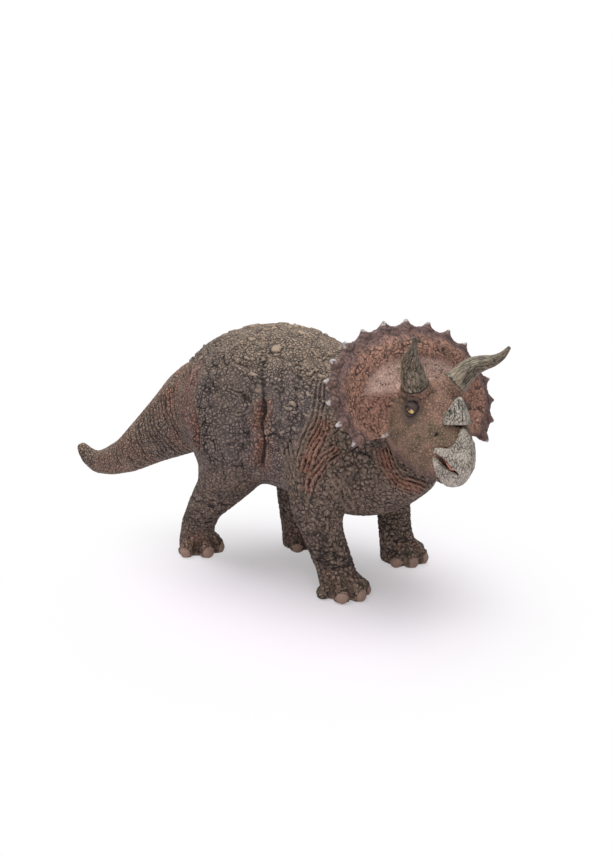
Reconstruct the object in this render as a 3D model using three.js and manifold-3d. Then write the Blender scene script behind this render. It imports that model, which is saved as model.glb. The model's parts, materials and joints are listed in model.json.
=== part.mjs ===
// A toy horned dinosaur figure: a hollow torso in two half shells, to which a tail, four legs and a head
// with a frill are plugged by square pegs. The horns, the beak halves and the tongue are separate
// mouldings on the head.
// Millimetres. +X is where the animal walks, +Y is its left, +Z is up and the soles stand on z = 0.
import * as THREE from "three";
import { mergeVertices } from "three/addons/utils/BufferGeometryUtils.js";
import Module from "manifold-3d";

const wasm = await Module();
wasm.setup();

// Driving sizes of the whole animal.
const STANCE_LENGTH = 80; // between the right feet, and the unit of every place along the body
const BODY_HALF_WIDTH = 34;
const BACK_HEIGHT = 106;
const TORSO_LENGTH = 125;
const RUMP_REACH = 54; // from the middle of the stance back to the rump's end
const NECK_SWING = 15; // how far the throat turns to the right
const WALL = 3;
const GLUE_GAP = 0.3;
const SEAT_DEPTH = 6; // how deep a leg sits in its recess in the flank
const OVERRUN = 300; // the size of a cutting block, past every face

// Legs.
const THIGH_LENGTH = 41; // fore and aft
const THIGH_WIDTH = 29;
const SHOULDER_LENGTH = 30;
const SHOULDER_WIDTH = 22;
const TOE_WIDTH = 6.6;
const TOE_HEIGHT = 6.6;
const TOE_REACH = 1.5; // from the foot's edge to the knuckle
const NAIL_LENGTH = 2.4;
const LEG_PEG_SIDE = 8;
const LEG_PEG_LENGTH = 15;

// Tail.
const TAIL_REACH = 124; // from the middle of the stance to the tail's tip
const TAIL_DEPTH = 50; // at its root
const TAIL_WIDTH = 38;
const TAIL_LAP = 5; // how far its flanks reach over the rump
const TAIL_PEG_SIDE = 12;
const TAIL_PEG_LENGTH = 11; // to each side of the rump's skin

// Locating pins between the half shells.
const PIN_RADIUS = 1.6;
const PIN_LENGTH = 3.5;
const BOSS_RADIUS = 3.6;
const BOSS_LENGTH = 6;

// Head. Its frame stands between the brow horns' roots: x to the snout, y to the left, z up.
const HEAD_LEAD = 3.2; // ahead of the throat's front end
const HEAD_EASE = 4.3; // left of the throat's front end
const HEAD_DROP = 10.7; // under the top of the back
const HEAD_TURN_DEG = -23.7;
const HEAD_ROLL_DEG = -8.6;
const SNOUT_REACH = 28;
const FACE_DEPTH = 36;
const FACE_HALF_WIDTH = 17;
const NECK_PEG_SIDE = 11;

// Beak halves, each a cap over the snout's core.
const BEAK_WALL = 2;
const BEAK_LIP = 0.5; // how far a beak stands proud of the skin

// Frill.
const FRILL_HALF_WIDTH = 40.4;
const FRILL_HALF_HEIGHT = 27;
const FRILL_DROP = 8; // its middle, under the horns' roots
const FRILL_FOOT = 23; // its lower edge, under the horns' roots
const FRILL_SETBACK = 10.5; // its middle, behind the horns' roots
const RIM_SETBACK = 13.2; // the widest part of its rim, behind the horns' roots
const RIM_RAKE = 15.5; // how far the rim's top lies behind its widest part
const RIM_CURL = 5; // how far top and foot curl forward of that rake
const FRILL_RIM = 3; // thickness at the rim
const FRILL_ROOT = 6; // thickness at the middle
const SPIKE_RADIUS = 2.7;
const SPIKE_LENGTH = 2.6;
const SPIKE_TIP_RADIUS = 0.7;
const CHEEK_SPIKE_RADIUS = 4.4;

// Horns.
const HORN_FORWARD = 13.3; // a brow horn's tip from the head's frame
const HORN_SPREAD = 24;
const RIGHT_HORN_RISE = 21;
const LEFT_HORN_RISE = 17.5;
const HORN_ROOT_RADIUS = 4.8;
const HORN_PEG_RADIUS = 2.4;
const HORN_PEG_LENGTH = 5;
const BROW_RADIUS = 5.6; // the skin boss round a horn's root
const BROW_FOOT_RADIUS = 7.6;
const BROW_HEIGHT = 7;
const NOSE_HORN_RADIUS = 5.2;
const NOSE_PEG_RADIUS = 2;
const NOSE_PEG_DEPTH = 2; // past the horn's own foot

// Eyes and nostrils.
const EYE_RADIUS = 2.4;
const NOSTRIL_RADIUS = 0.9;

// Tongue.
const TONGUE_HALF_WIDTH = 3.6;
const TONGUE_HALF_THICKNESS = 0.8;

// Torso sections from the rump to the throat, as shares of the torso's length, the neck's swing,
// the back's height (top and bottom) and the half width.
const TORSO_SHARES = [
  [0.0, 0.0, 0.74, 0.45, 0.34],
  [0.08, 0.0, 0.88, 0.375, 0.66],
  [0.2, 0.0, 0.955, 0.347, 0.87],
  [0.33, 0.0, 0.995, 0.338, 0.97],
  [0.46, 0.0, 0.99, 0.322, 0.99],
  [0.58, 0.0, 0.945, 0.297, 0.96],
  [0.68, 0.04, 0.886, 0.275, 0.86],
  [0.77, 0.14, 0.822, 0.285, 0.73],
  [0.855, 0.34, 0.765, 0.325, 0.6],
  [0.93, 0.64, 0.69, 0.395, 0.45],
  [1.0, 1.0, 0.57, 0.465, 0.22],
];

// Pins between the half shells: along the torso, and up from its belly to its back.
const PIN_SHARES = [
  [0.2, 0.93],
  [0.5, 0.93],
  [0.36, 0.08],
  [0.74, 0.08],
];

// Tail sections from the root to the tip: along the reach, height of the middle as a share of the back's
// height, then half width and half depth as shares of the root's.
const TAIL_SHARES = [
  [0.37, 0.605, 0.91, 0.85],
  [0.44, 0.56, 0.84, 0.75],
  [0.52, 0.49, 0.73, 0.62],
  [0.64, 0.39, 0.58, 0.46],
  [0.75, 0.295, 0.42, 0.34],
  [0.84, 0.245, 0.33, 0.27],
  [0.905, 0.226, 0.27, 0.22],
  [0.95, 0.245, 0.21, 0.17],
  [0.985, 0.287, 0.14, 0.12],
];

// Leg sections from the top to the sole: forward by the stance, outward by the body's half width, up by
// the back's height, then half length and half width as shares of the thigh or shoulder.
const HIND_RIGHT_SHARES = [
  [-0.25, 0.46, 0.86, 0.3, 0.3],
  [-0.25, 0.59, 0.78, 0.45, 0.43],
  [-0.24, 0.66, 0.66, 0.52, 0.5],
  [-0.22, 0.66, 0.53, 0.48, 0.48],
  [-0.25, 0.6, 0.41, 0.36, 0.42],
  [-0.34, 0.56, 0.31, 0.245, 0.34],
  [-0.44, 0.52, 0.22, 0.19, 0.28],
  [-0.505, 0.485, 0.13, 0.175, 0.26],
  [-0.525, 0.46, 0.05, 0.195, 0.27],
  [-0.525, 0.46, -0.01, 0.2, 0.27],
];
const HIND_LEFT_SHARES = [
  [-0.25, 0.46, 0.86, 0.3, 0.3],
  [-0.25, 0.59, 0.78, 0.45, 0.43],
  [-0.225, 0.66, 0.66, 0.52, 0.5],
  [-0.18, 0.66, 0.53, 0.48, 0.48],
  [-0.14, 0.6, 0.4, 0.36, 0.42],
  [-0.13, 0.54, 0.28, 0.25, 0.34],
  [-0.13, 0.485, 0.2, 0.195, 0.28],
  [-0.11, 0.455, 0.12, 0.18, 0.26],
  [-0.085, 0.44, 0.05, 0.195, 0.27],
  [-0.085, 0.44, -0.01, 0.2, 0.27],
];
const FRONT_RIGHT_SHARES = [
  [0.31, 0.42, 0.77, 0.26, 0.28],
  [0.33, 0.57, 0.68, 0.44, 0.44],
  [0.35, 0.68, 0.56, 0.5, 0.5],
  [0.355, 0.73, 0.45, 0.47, 0.48],
  [0.35, 0.74, 0.35, 0.39, 0.43],
  [0.375, 0.7, 0.25, 0.3, 0.37],
  [0.43, 0.66, 0.135, 0.26, 0.35],
  [0.465, 0.64, 0.05, 0.29, 0.35],
  [0.47, 0.64, -0.01, 0.3, 0.35],
];
const FRONT_LEFT_SHARES = [
  [0.35, 0.42, 0.75, 0.26, 0.28],
  [0.39, 0.57, 0.66, 0.44, 0.44],
  [0.43, 0.68, 0.55, 0.5, 0.5],
  [0.44, 0.74, 0.45, 0.43, 0.46],
  [0.43, 0.76, 0.345, 0.32, 0.4],
  [0.445, 0.74, 0.25, 0.255, 0.35],
  [0.467, 0.71, 0.135, 0.235, 0.34],
  [0.495, 0.7, 0.05, 0.28, 0.34],
  [0.5, 0.7, -0.01, 0.29, 0.34],
];

// Toes: heading in degrees from straight ahead, outward positive, and size as a share of a full toe.
const HIND_TOES = [
  [85, 0.95],
  [28, 1.05],
  [-18, 1.0],
  [-65, 0.85],
];
const FRONT_TOES = [
  [110, 0.8],
  [58, 1.0],
  [13, 1.05],
  [-29, 0.95],
  [-66, 0.75],
];

// Skull sections from the occiput to the snout: forward by the snout's reach, top and bottom by the
// face's depth, half width by the face's.
const SKULL_SHARES = [
  [-0.55, -0.17, -0.72, 0.6],
  [-0.29, -0.05, -0.93, 0.9],
  [0.0, 0.0, -1.0, 1.0],
  [0.25, -0.11, -1.02, 0.9],
  [0.5, -0.26, -1.02, 0.67],
  [0.69, -0.35, -1.02, 0.51],
  [0.83, -0.44, -0.98, 0.37],
  [0.925, -0.55, -0.87, 0.22],
];

// Side outlines on the head, each point forward by the snout's reach and up by the face's depth.
const UPPER_BEAK_SHARES = [
  [0.77, -0.3],
  [0.78, -0.47],
  [0.79, -0.55],
  [0.64, -0.585],
  [0.59, -0.62],
  [0.62, -0.66],
  [0.78, -0.7],
  [0.93, -0.83],
  [1.2, -0.86],
  [1.2, -0.3],
];
const LOWER_BEAK_SHARES = [
  [0.61, -0.69],
  [0.74, -0.77],
  [0.93, -0.845],
  [1.2, -0.875],
  [1.2, -1.2],
  [0.74, -1.2],
  [0.64, -0.88],
];
const MOUTH_SHARES = [
  [0.615, -0.64],
  [0.78, -0.69],
  [0.93, -0.825],
  [0.93, -0.85],
  [0.74, -0.79],
  [0.64, -0.715],
];
const TONGUE_SHARES = [
  [0.42, -0.655],
  [0.62, -0.68],
  [0.76, -0.735],
  [0.86, -0.79],
];

// Brow horn axis: forward, outward and up as shares of the tip's place, then the radius by the root's.
const BROW_HORN_SHARES = [
  [0.0, 0.417, 0.0, 1.0],
  [0.045, 0.483, 0.116, 0.99],
  [0.135, 0.6, 0.3, 0.88],
  [0.24, 0.71, 0.45, 0.77],
  [0.43, 0.81, 0.56, 0.66],
  [0.68, 0.883, 0.66, 0.54],
  [0.88, 0.94, 0.81, 0.38],
  [1.0, 1.0, 1.0, 0.2],
];
const NOSE_HORN_SHARES = [
  [0.6, -0.4, 0.92],
  [0.6, -0.34, 1.0],
  [0.6, -0.27, 0.88],
  [0.59, -0.19, 0.6],
  [0.585, -0.12, 0.3],
];

// Spots on the head: forward by the snout's reach, outward by the face's half width, up by its depth.
const CHEEK_SPIKE_ROOT_SHARES = [0, 0.6, -0.48];
const CHEEK_SPIKE_TIP_SHARES = [-0.1, 1.12, -0.6];
const EYE_SHARES = [0.14, 0.76, -0.26];
const NOSTRIL_SHARES = [0.57, 0.46, -0.47];
const NECK_PEG_ROOT_SHARES = [-0.2, -0.5]; // forward and up
const NECK_PEG_END_SHARE = 0.84; // along the torso

const FLESH = { color: 0x6b5d50, roughness: 0.75, metalness: 0 };
const HEAD_SKIN = { color: 0x86604d, roughness: 0.7, metalness: 0 };
const HORN = { color: 0x8f8a72, roughness: 0.55, metalness: 0 };
const BEAK = { color: 0xa9a894, roughness: 0.6, metalness: 0 };
const TONGUE = { color: 0xa0605a, roughness: 0.45, metalness: 0 };

const LOFT_SIDES = 20;
const WELD = 1e-4; // points nearer than this are one
const DOME_RINGS = 2;
const DOME_SHARE = 0.6; // a domed end's reach by its smaller half size
const FRILL_SEGMENTS = 60;
const FRILL_RINGS = 3;
const SPIKE_COUNT = 17;
const SPIKE_ARC_DEG = 252; // from the lowest right spike round to the lowest left

// A value between rows of a table, on a smooth curve through them.
function along(rows, t) {
  const i = Math.min(Math.floor(t), rows.length - 2);
  const f = t - i;
  const row = (k) => rows[THREE.MathUtils.clamp(i + k, 0, rows.length - 1)];
  const [before, from, to, after] = [-1, 0, 1, 2].map(row);
  return from.map((q, k) => {
    const [p, r, s] = [before[k], to[k], after[k]];
    return q + 0.5 * f * (r - p + f * (2 * p - 5 * q + 4 * r - s + f * (3 * (q - r) + s - p)));
  });
}

// A closed skin over sections [x, y, z, half across, half up and down], with domed ends. Each ring is
// square to the middle line, or upright, and its first point lies across the hint.
function loft(sections, hint, { grow = 0, upright = false, steps = 1, sides = LOFT_SIDES } = {}) {
  const last = sections.length - 1;
  const middle = (t) => vector(...along(sections, THREE.MathUtils.clamp(t, 0, last)).slice(0, 3));
  const rings = Array.from({ length: last * steps + 1 }, (_, n) => {
    const t = n / steps;
    const [across, deep] = along(sections, t).slice(3).map((v) => v + grow);
    const ahead = middle(t + 0.5 / steps).sub(middle(t - 0.5 / steps));
    if (upright) ahead.z = 0;
    ahead.normalize();
    const side = new THREE.Vector3().crossVectors(hint, ahead).normalize();
    const up = new THREE.Vector3().crossVectors(ahead, side);
    return { centre: middle(t), ahead, side, up, across, deep };
  });
  const moved = (ring, reach) => ring.centre.clone().addScaledVector(ring.ahead, reach);
  const domeReach = (ring) => Math.min(ring.across, ring.deep) * DOME_SHARE;
  const dome = (ring, sign) =>
    Array.from({ length: DOME_RINGS }, (_, k) => {
      const turn = ((k + 1) / (DOME_RINGS + 1)) * (Math.PI / 2);
      const shrink = Math.cos(turn);
      const centre = moved(ring, sign * domeReach(ring) * Math.sin(turn));
      return { ...ring, centre, across: ring.across * shrink, deep: ring.deep * shrink };
    });
  const all = [...dome(rings[0], -1).reverse(), ...rings, ...dome(rings.at(-1), 1)];
  const points = all.flatMap(({ centre, side, up, across, deep }) =>
    Array.from({ length: sides }, (_, k) => {
      const a = (k / sides) * 2 * Math.PI;
      const out = side.clone().multiplyScalar(across * Math.cos(a));
      return out.addScaledVector(up, deep * Math.sin(a)).add(centre);
    }),
  );
  const [start, end] = [points.length, points.length + 1];
  points.push(moved(rings[0], -domeReach(rings[0])), moved(rings.at(-1), domeReach(rings.at(-1))));
  const faces = [];
  const lastRing = (all.length - 1) * sides;
  for (let k = 0; k < sides; k++) {
    const next = (k + 1) % sides;
    for (let r = 0; r < lastRing; r += sides)
      faces.push(r + k, r + next, r + next + sides, r + k, r + next + sides, r + k + sides);
    faces.push(start, next, k, end, lastRing + k, lastRing + next);
  }
  return new THREE.BufferGeometry().setFromPoints(points).setIndex(faces);
}

// A three.js geometry as a solid, and a solid as a named mesh.
function solid(geometry) {
  const bare = geometry.clone().deleteAttribute("normal").deleteAttribute("uv");
  const merged = mergeVertices(bare, WELD);
  return new wasm.Manifold(
    new wasm.Mesh({
      numProp: 3,
      vertProperties: new Float32Array(merged.attributes.position.array),
      triVerts: new Uint32Array(merged.index.array),
    }),
  );
}

function piece(name, body, look) {
  const { vertProperties, triVerts, numProp } = body.getMesh();
  const points = new THREE.BufferAttribute(new Float32Array(vertProperties), numProp);
  const geometry = new THREE.BufferGeometry().setAttribute("position", points);
  geometry.setIndex(new THREE.BufferAttribute(new Uint32Array(triVerts), 1));
  geometry.computeVertexNormals();
  const mesh = new THREE.Mesh(geometry, new THREE.MeshStandardMaterial(look));
  mesh.name = name;
  return mesh;
}

const join = (first, ...others) => others.reduce((body, other) => body.add(other), first);
const cut = (first, ...others) => others.reduce((body, other) => body.subtract(other), first);
const common = (first, other) => first.intersect(other);
const vector = (x, y, z) => new THREE.Vector3(x, y, z);
const block = (x, y, z, place) => solid(new THREE.BoxGeometry(x, y, z).translate(...place));

// A shape built along an axis, turned and moved to run from one point to another.
function between(from, to, shape, axis) {
  const run = to.clone().sub(from);
  const turn = new THREE.Quaternion().setFromUnitVectors(axis, run.clone().normalize());
  const middle = from.clone().lerp(to, 0.5);
  return solid(shape(run.length()).applyQuaternion(turn).translate(middle.x, middle.y, middle.z));
}
const bar = (from, to, width) =>
  between(from, to, (length) => new THREE.BoxGeometry(width, width, length), vector(0, 0, 1));
function rod(from, to, radius, endRadius = radius, sides = 12) {
  const shape = (length) => new THREE.CylinderGeometry(endRadius, radius, length, sides);
  return between(from, to, shape, vector(0, 1, 0));
}

// The same peg end moved on along its own line.
const further = (from, to, more) => to.clone().add(to.clone().sub(from).setLength(more));

// A flat outline of [x, other] points given the thickness OVERRUN about its plane: seen from above where
// lying, else from the side.
function slab(outline, lying) {
  const shape = new THREE.Shape(outline.map(([x, other]) => new THREE.Vector2(x, other)));
  const geometry = new THREE.ExtrudeGeometry(shape, { depth: OVERRUN, bevelEnabled: false });
  geometry.translate(0, 0, -OVERRUN / 2);
  return solid(lying ? geometry : geometry.rotateX(Math.PI / 2));
}

// An outline moved outward by a margin, along the mean of each corner's two edges.
function widened(outline, margin) {
  const at = (k) => new THREE.Vector2(...outline[(k + outline.length) % outline.length]);
  const turned = outline.reduce((sum, _, k) => sum + at(k).cross(at(k + 1)), 0) > 0 ? 1 : -1;
  const normal = (a, b) => new THREE.Vector2(b.y - a.y, a.x - b.x).normalize().multiplyScalar(turned);
  return outline.map((_, k) => {
    const out = normal(at(k - 1), at(k)).add(normal(at(k), at(k + 1))).normalize();
    return at(k).addScaledVector(out, margin).toArray();
  });
}

// The torso.
const UP = vector(0, 0, 1);
const FORWARD = vector(1, 0, 0);

const torsoSections = TORSO_SHARES.map(([run, swing, top, bottom, half]) => [
  run * TORSO_LENGTH - RUMP_REACH,
  -swing * NECK_SWING,
  ((top + bottom) / 2) * BACK_HEIGHT,
  half * BODY_HALF_WIDTH,
  ((top - bottom) / 2) * BACK_HEIGHT,
]);
const torso = (grow) => solid(loft(torsoSections, UP, { grow, upright: true, steps: 2 }));
const torsoHollow = () => solid(loft(torsoSections, UP, { grow: -WALL, upright: true, sides: 16 }));
const torsoAt = (share) => {
  const runs = TORSO_SHARES.map(([run]) => run);
  const k = Math.max(runs.findIndex((run) => run > share) - 1, 0);
  return along(torsoSections, k + (share - runs[k]) / (runs[k + 1] - runs[k]));
};

// The legs.
function legSections({ shares, side, length, width }) {
  return shares.map(([ahead, out, up, halfLength, halfWidth]) => [
    ahead * STANCE_LENGTH,
    side * out * BODY_HALF_WIDTH,
    up * BACK_HEIGHT,
    halfWidth * width,
    halfLength * length,
  ]);
}

function toe([x, y, , across, fore], side, [heading, size], grow) {
  const angle = side * THREE.MathUtils.degToRad(heading);
  const edge = vector(fore * Math.cos(angle), across * Math.sin(angle), 0);
  const half = (TOE_WIDTH / 2) * size;
  const high = (TOE_HEIGHT / 2) * size;
  const row = (start, reach, width, depth, rise) => {
    const out = edge.clone().normalize().multiplyScalar(reach);
    const place = vector(x, y, 0).addScaledVector(edge, start).add(out);
    return [place.x, place.y, high * rise, half * width, high * depth];
  };
  const rows = [
    row(0.5, 0, 1.05, 1, 1.1),
    row(1, TOE_REACH * size, 1, 0.95, 0.9),
    row(1, (TOE_REACH + NAIL_LENGTH) * size, 0.78, 0.68, 0.62),
  ];
  return solid(loft(rows, UP, { grow, sides: 10 }));
}

function leg(spec, grow = 0) {
  const sections = legSections(spec);
  const whole = join(
    solid(loft(sections, FORWARD, { grow, sides: 16 })),
    ...spec.toes.map((one) => toe(sections.at(-1), spec.side, one, grow)),
  );
  return cut(whole, block(OVERRUN, OVERRUN, OVERRUN, [0, 0, -OVERRUN / 2]));
}

// A leg's peg, from inside the thigh to its inner end.
function legPeg(spec, grow = 0) {
  const [x, y, z, across] = legSections(spec)[2];
  const from = vector(x, y + spec.side * 0.6 * across, z);
  const to = vector(x, y - spec.side * LEG_PEG_LENGTH, z);
  return bar(from, further(from, to, grow), LEG_PEG_SIDE + 2 * grow);
}

const HIND = { toes: HIND_TOES, length: THIGH_LENGTH, width: THIGH_WIDTH };
const FRONT = { toes: FRONT_TOES, length: SHOULDER_LENGTH, width: SHOULDER_WIDTH };
const LEGS = {
  right_front_leg: { ...FRONT, shares: FRONT_RIGHT_SHARES, side: -1 },
  left_front_leg: { ...FRONT, shares: FRONT_LEFT_SHARES, side: 1 },
  right_hind_leg: { ...HIND, shares: HIND_RIGHT_SHARES, side: -1 },
  left_hind_leg: { ...HIND, shares: HIND_LEFT_SHARES, side: 1 },
};

function legPieces() {
  const seatFloor = torso(-SEAT_DEPTH);
  return Object.entries(LEGS).map(([name, spec]) =>
    piece(name, join(cut(leg(spec), seatFloor), legPeg(spec)), FLESH),
  );
}

// The tail, cut to the rump's skin.
const tailSections = TAIL_SHARES.map(([run, rise, halfWidth, halfDepth]) => [
  -run * TAIL_REACH,
  0,
  rise * BACK_HEIGHT,
  (halfWidth * TAIL_WIDTH) / 2,
  (halfDepth * TAIL_DEPTH) / 2,
]);
function tailPeg(grow = 0) {
  const height = tailSections[0][2];
  const [outer, inner] = [-1, 1].map((way) => vector(way * TAIL_PEG_LENGTH - RUMP_REACH, 0, height));
  return bar(outer, further(outer, inner, grow), TAIL_PEG_SIDE + 2 * grow);
}
function tailPiece() {
  const hips = [LEGS.right_hind_leg, LEGS.left_hind_leg].map((spec) => leg(spec, GLUE_GAP));
  const ahead = block(OVERRUN, OVERRUN, OVERRUN, [TAIL_LAP - RUMP_REACH + OVERRUN / 2, 0, 0]);
  const flesh = cut(solid(loft(tailSections, UP)), torso(GLUE_GAP), ahead, ...hips);
  return piece("tail", join(flesh, tailPeg()), FLESH);
}

// The head is built in its own frame and then placed.
const [roll, turn] = [HEAD_ROLL_DEG, HEAD_TURN_DEG].map(THREE.MathUtils.degToRad);
const headPlace = new THREE.Matrix4().compose(
  vector(TORSO_LENGTH - RUMP_REACH + HEAD_LEAD, HEAD_EASE - NECK_SWING, BACK_HEIGHT - HEAD_DROP),
  new THREE.Quaternion().setFromEuler(new THREE.Euler(roll, 0, turn, "ZYX")),
  vector(1, 1, 1),
);
const placed = (body) => body.transform(headPlace.elements);
const onFace = (points) => points.map(([ahead, up]) => [ahead * SNOUT_REACH, up * FACE_DEPTH]);

const skullSections = SKULL_SHARES.map(([ahead, top, bottom, half]) => [
  ahead * SNOUT_REACH,
  0,
  ((top + bottom) / 2) * FACE_DEPTH,
  half * FACE_HALF_WIDTH,
  ((top - bottom) / 2) * FACE_DEPTH,
]);
const skull = (grow) => solid(loft(skullSections, UP, { grow, upright: true }));

// A point of the frill's middle surface: turn is counted from the top, share from the middle to the rim.
function frillPoint(turn, share, reach = 0) {
  const [aside, up] = [Math.sin(turn), Math.cos(turn)];
  const rim = RIM_CURL * up * up - RIM_RAKE * up - RIM_SETBACK;
  return vector(
    THREE.MathUtils.lerp(-FRILL_SETBACK, rim, share ** 3),
    aside * (share * FRILL_HALF_WIDTH + reach),
    up * (share * FRILL_HALF_HEIGHT + reach) - FRILL_DROP,
  );
}

function frill() {
  const half = (share) => THREE.MathUtils.lerp(FRILL_ROOT, FRILL_RIM, share) / 2;
  const turnOf = (k) => (k / FRILL_SEGMENTS) * 2 * Math.PI;
  const points = [];
  for (const way of [1, -1])
    for (let r = 1; r <= FRILL_RINGS; r++)
      for (let k = 0; k < FRILL_SEGMENTS; k++) {
        const share = r / FRILL_RINGS;
        points.push(frillPoint(turnOf(k), share).add(vector(way * half(share), 0, 0)));
      }
  const [front, back] = [points.length, points.length + 1];
  points.push(frillPoint(0, 0).add(vector(half(0), 0, 0)), frillPoint(0, 0).sub(vector(half(0), 0, 0)));
  const faces = [];
  const side = FRILL_RINGS * FRILL_SEGMENTS;
  for (let k = 0; k < FRILL_SEGMENTS; k++) {
    const next = (k + 1) % FRILL_SEGMENTS;
    faces.push(front, next, k, back, side + k, side + next);
    for (let r = 0; r < FRILL_RINGS - 1; r++) {
      const [a, b] = [r * FRILL_SEGMENTS + k, r * FRILL_SEGMENTS + next];
      const [c, d] = [a + FRILL_SEGMENTS, b + FRILL_SEGMENTS];
      faces.push(a, b, d, a, d, c, side + a, side + d, side + b, side + a, side + c, side + d);
    }
    const [a, b] = [(FRILL_RINGS - 1) * FRILL_SEGMENTS + k, (FRILL_RINGS - 1) * FRILL_SEGMENTS + next];
    faces.push(a, b, side + b, a, side + b, side + a);
  }
  const dish = solid(new THREE.BufferGeometry().setFromPoints(points).setIndex(faces));
  const spikes = Array.from({ length: SPIKE_COUNT }, (_, k) => {
    const turn = THREE.MathUtils.degToRad(SPIKE_ARC_DEG * (k / (SPIKE_COUNT - 1) - 0.5));
    const [from, to] = [-SPIKE_RADIUS, SPIKE_LENGTH].map((reach) => frillPoint(turn, 1, reach));
    return rod(from, to, SPIKE_RADIUS, SPIKE_TIP_RADIUS, 6);
  });
  const foot = block(OVERRUN, OVERRUN, OVERRUN, [0, 0, -FRILL_FOOT - OVERRUN / 2]);
  return join(cut(dish, foot), ...spikes);
}

// A brow horn's sections on its own side, its peg, and the boss of skin it stands in.
const hornSections = (side) =>
  BROW_HORN_SHARES.map(([ahead, out, up, radius]) => [
    ahead * HORN_FORWARD,
    side * out * HORN_SPREAD,
    up * (side < 0 ? RIGHT_HORN_RISE : LEFT_HORN_RISE),
    radius * HORN_ROOT_RADIUS,
    radius * HORN_ROOT_RADIUS,
  ]);
const hornRoot = (side) => hornSections(side).slice(0, 2).map((row) => vector(...row.slice(0, 3)));
function hornPeg(side, grow = 0) {
  const [root, next] = hornRoot(side);
  return rod(next, further(next, root, HORN_PEG_LENGTH + grow), HORN_PEG_RADIUS + grow);
}
function brow(side) {
  const [root, next] = hornRoot(side);
  return rod(further(next, root, BROW_HEIGHT), root, BROW_FOOT_RADIUS, BROW_RADIUS, 16);
}
function browHorn(name, side) {
  const [root, next] = hornRoot(side);
  const seat = rod(further(next, root, OVERRUN), further(next, root, -GLUE_GAP), OVERRUN);
  const horn = cut(solid(loft(hornSections(side), FORWARD, { sides: 12 })), seat);
  return piece(name, placed(join(horn, hornPeg(side))), HORN);
}

// The nose horn, cut to the snout's skin.
const noseSections = NOSE_HORN_SHARES.map(([ahead, up, radius]) => {
  const half = radius * NOSE_HORN_RADIUS;
  return [ahead * SNOUT_REACH, 0, up * FACE_DEPTH, half, half];
});
function nosePeg(grow = 0) {
  const [from, to] = [noseSections[2], noseSections[0]].map((row) => vector(...row.slice(0, 3)));
  return rod(from, further(from, to, NOSE_PEG_DEPTH + grow), NOSE_PEG_RADIUS + grow);
}
function noseHorn() {
  const horn = cut(solid(loft(noseSections, FORWARD, { sides: 14 })), skull(GLUE_GAP));
  return piece("nose_horn", placed(join(horn, nosePeg())), BEAK);
}

// The beak halves and the mouth between them.
const mouth = () => slab(onFace(MOUTH_SHARES));
function beak(name, outline) {
  const cap = cut(common(skull(BEAK_LIP), slab(onFace(outline))), skull(-BEAK_WALL), mouth());
  return piece(name, placed(cap), BEAK);
}

function tongueSolid(grow = 0) {
  const section = [TONGUE_HALF_WIDTH, TONGUE_HALF_THICKNESS];
  const rows = onFace(TONGUE_SHARES).map(([ahead, up]) => [ahead, 0, up, ...section]);
  return solid(loft(rows, UP, { grow, sides: 12 }));
}
const tongue = () => piece("tongue", placed(tongueSolid()), TONGUE);

// Spots on both sides of the face, from shares of its reach, half width and depth.
const onBothSides = ([ahead, out, up]) =>
  [-1, 1].map((side) => vector(ahead * SNOUT_REACH, side * out * FACE_HALF_WIDTH, up * FACE_DEPTH));

function head() {
  const [roots, tips] = [CHEEK_SPIKE_ROOT_SHARES, CHEEK_SPIKE_TIP_SHARES].map(onBothSides);
  const cheekSpikes = roots.map((root, k) => rod(root, tips[k], CHEEK_SPIKE_RADIUS, SPIKE_TIP_RADIUS, 8));
  const eyes = onBothSides(EYE_SHARES).map((spot) =>
    solid(new THREE.SphereGeometry(EYE_RADIUS, 12, 8).translate(spot.x, spot.y, spot.z)),
  );
  const nostrils = onBothSides(NOSTRIL_SHARES).map((spot) =>
    rod(spot.clone().setY(0.5 * spot.y), further(spot.clone().setY(0), spot, BEAK_WALL), NOSTRIL_RADIUS),
  );
  const skin = join(skull(0), frill(), brow(-1), brow(1), ...cheekSpikes, ...eyes);
  const room = (outline) => slab(widened(onFace(outline), GLUE_GAP));
  const beakRoom = [UPPER_BEAK_SHARES, LOWER_BEAK_SHARES].map(room);
  const whole = cut(
    join(cut(skin, ...beakRoom), skull(-BEAK_WALL - GLUE_GAP)),
    mouth(),
    tongueSolid(GLUE_GAP),
    hornPeg(-1, GLUE_GAP),
    hornPeg(1, GLUE_GAP),
    nosePeg(GLUE_GAP),
    ...nostrils,
  );
  return piece("head", join(cut(placed(whole), torso(GLUE_GAP)), neckPeg()), HEAD_SKIN);
}

// The peg from the skull's foot to the middle of the neck.
function neckPeg(grow = 0) {
  const [ahead, up] = NECK_PEG_ROOT_SHARES;
  const root = vector(ahead * SNOUT_REACH, 0, up * FACE_DEPTH).applyMatrix4(headPlace);
  const inner = vector(...torsoAt(NECK_PEG_END_SHARE).slice(0, 3));
  return bar(root, further(root, inner, grow), NECK_PEG_SIDE + 2 * grow);
}

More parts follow.
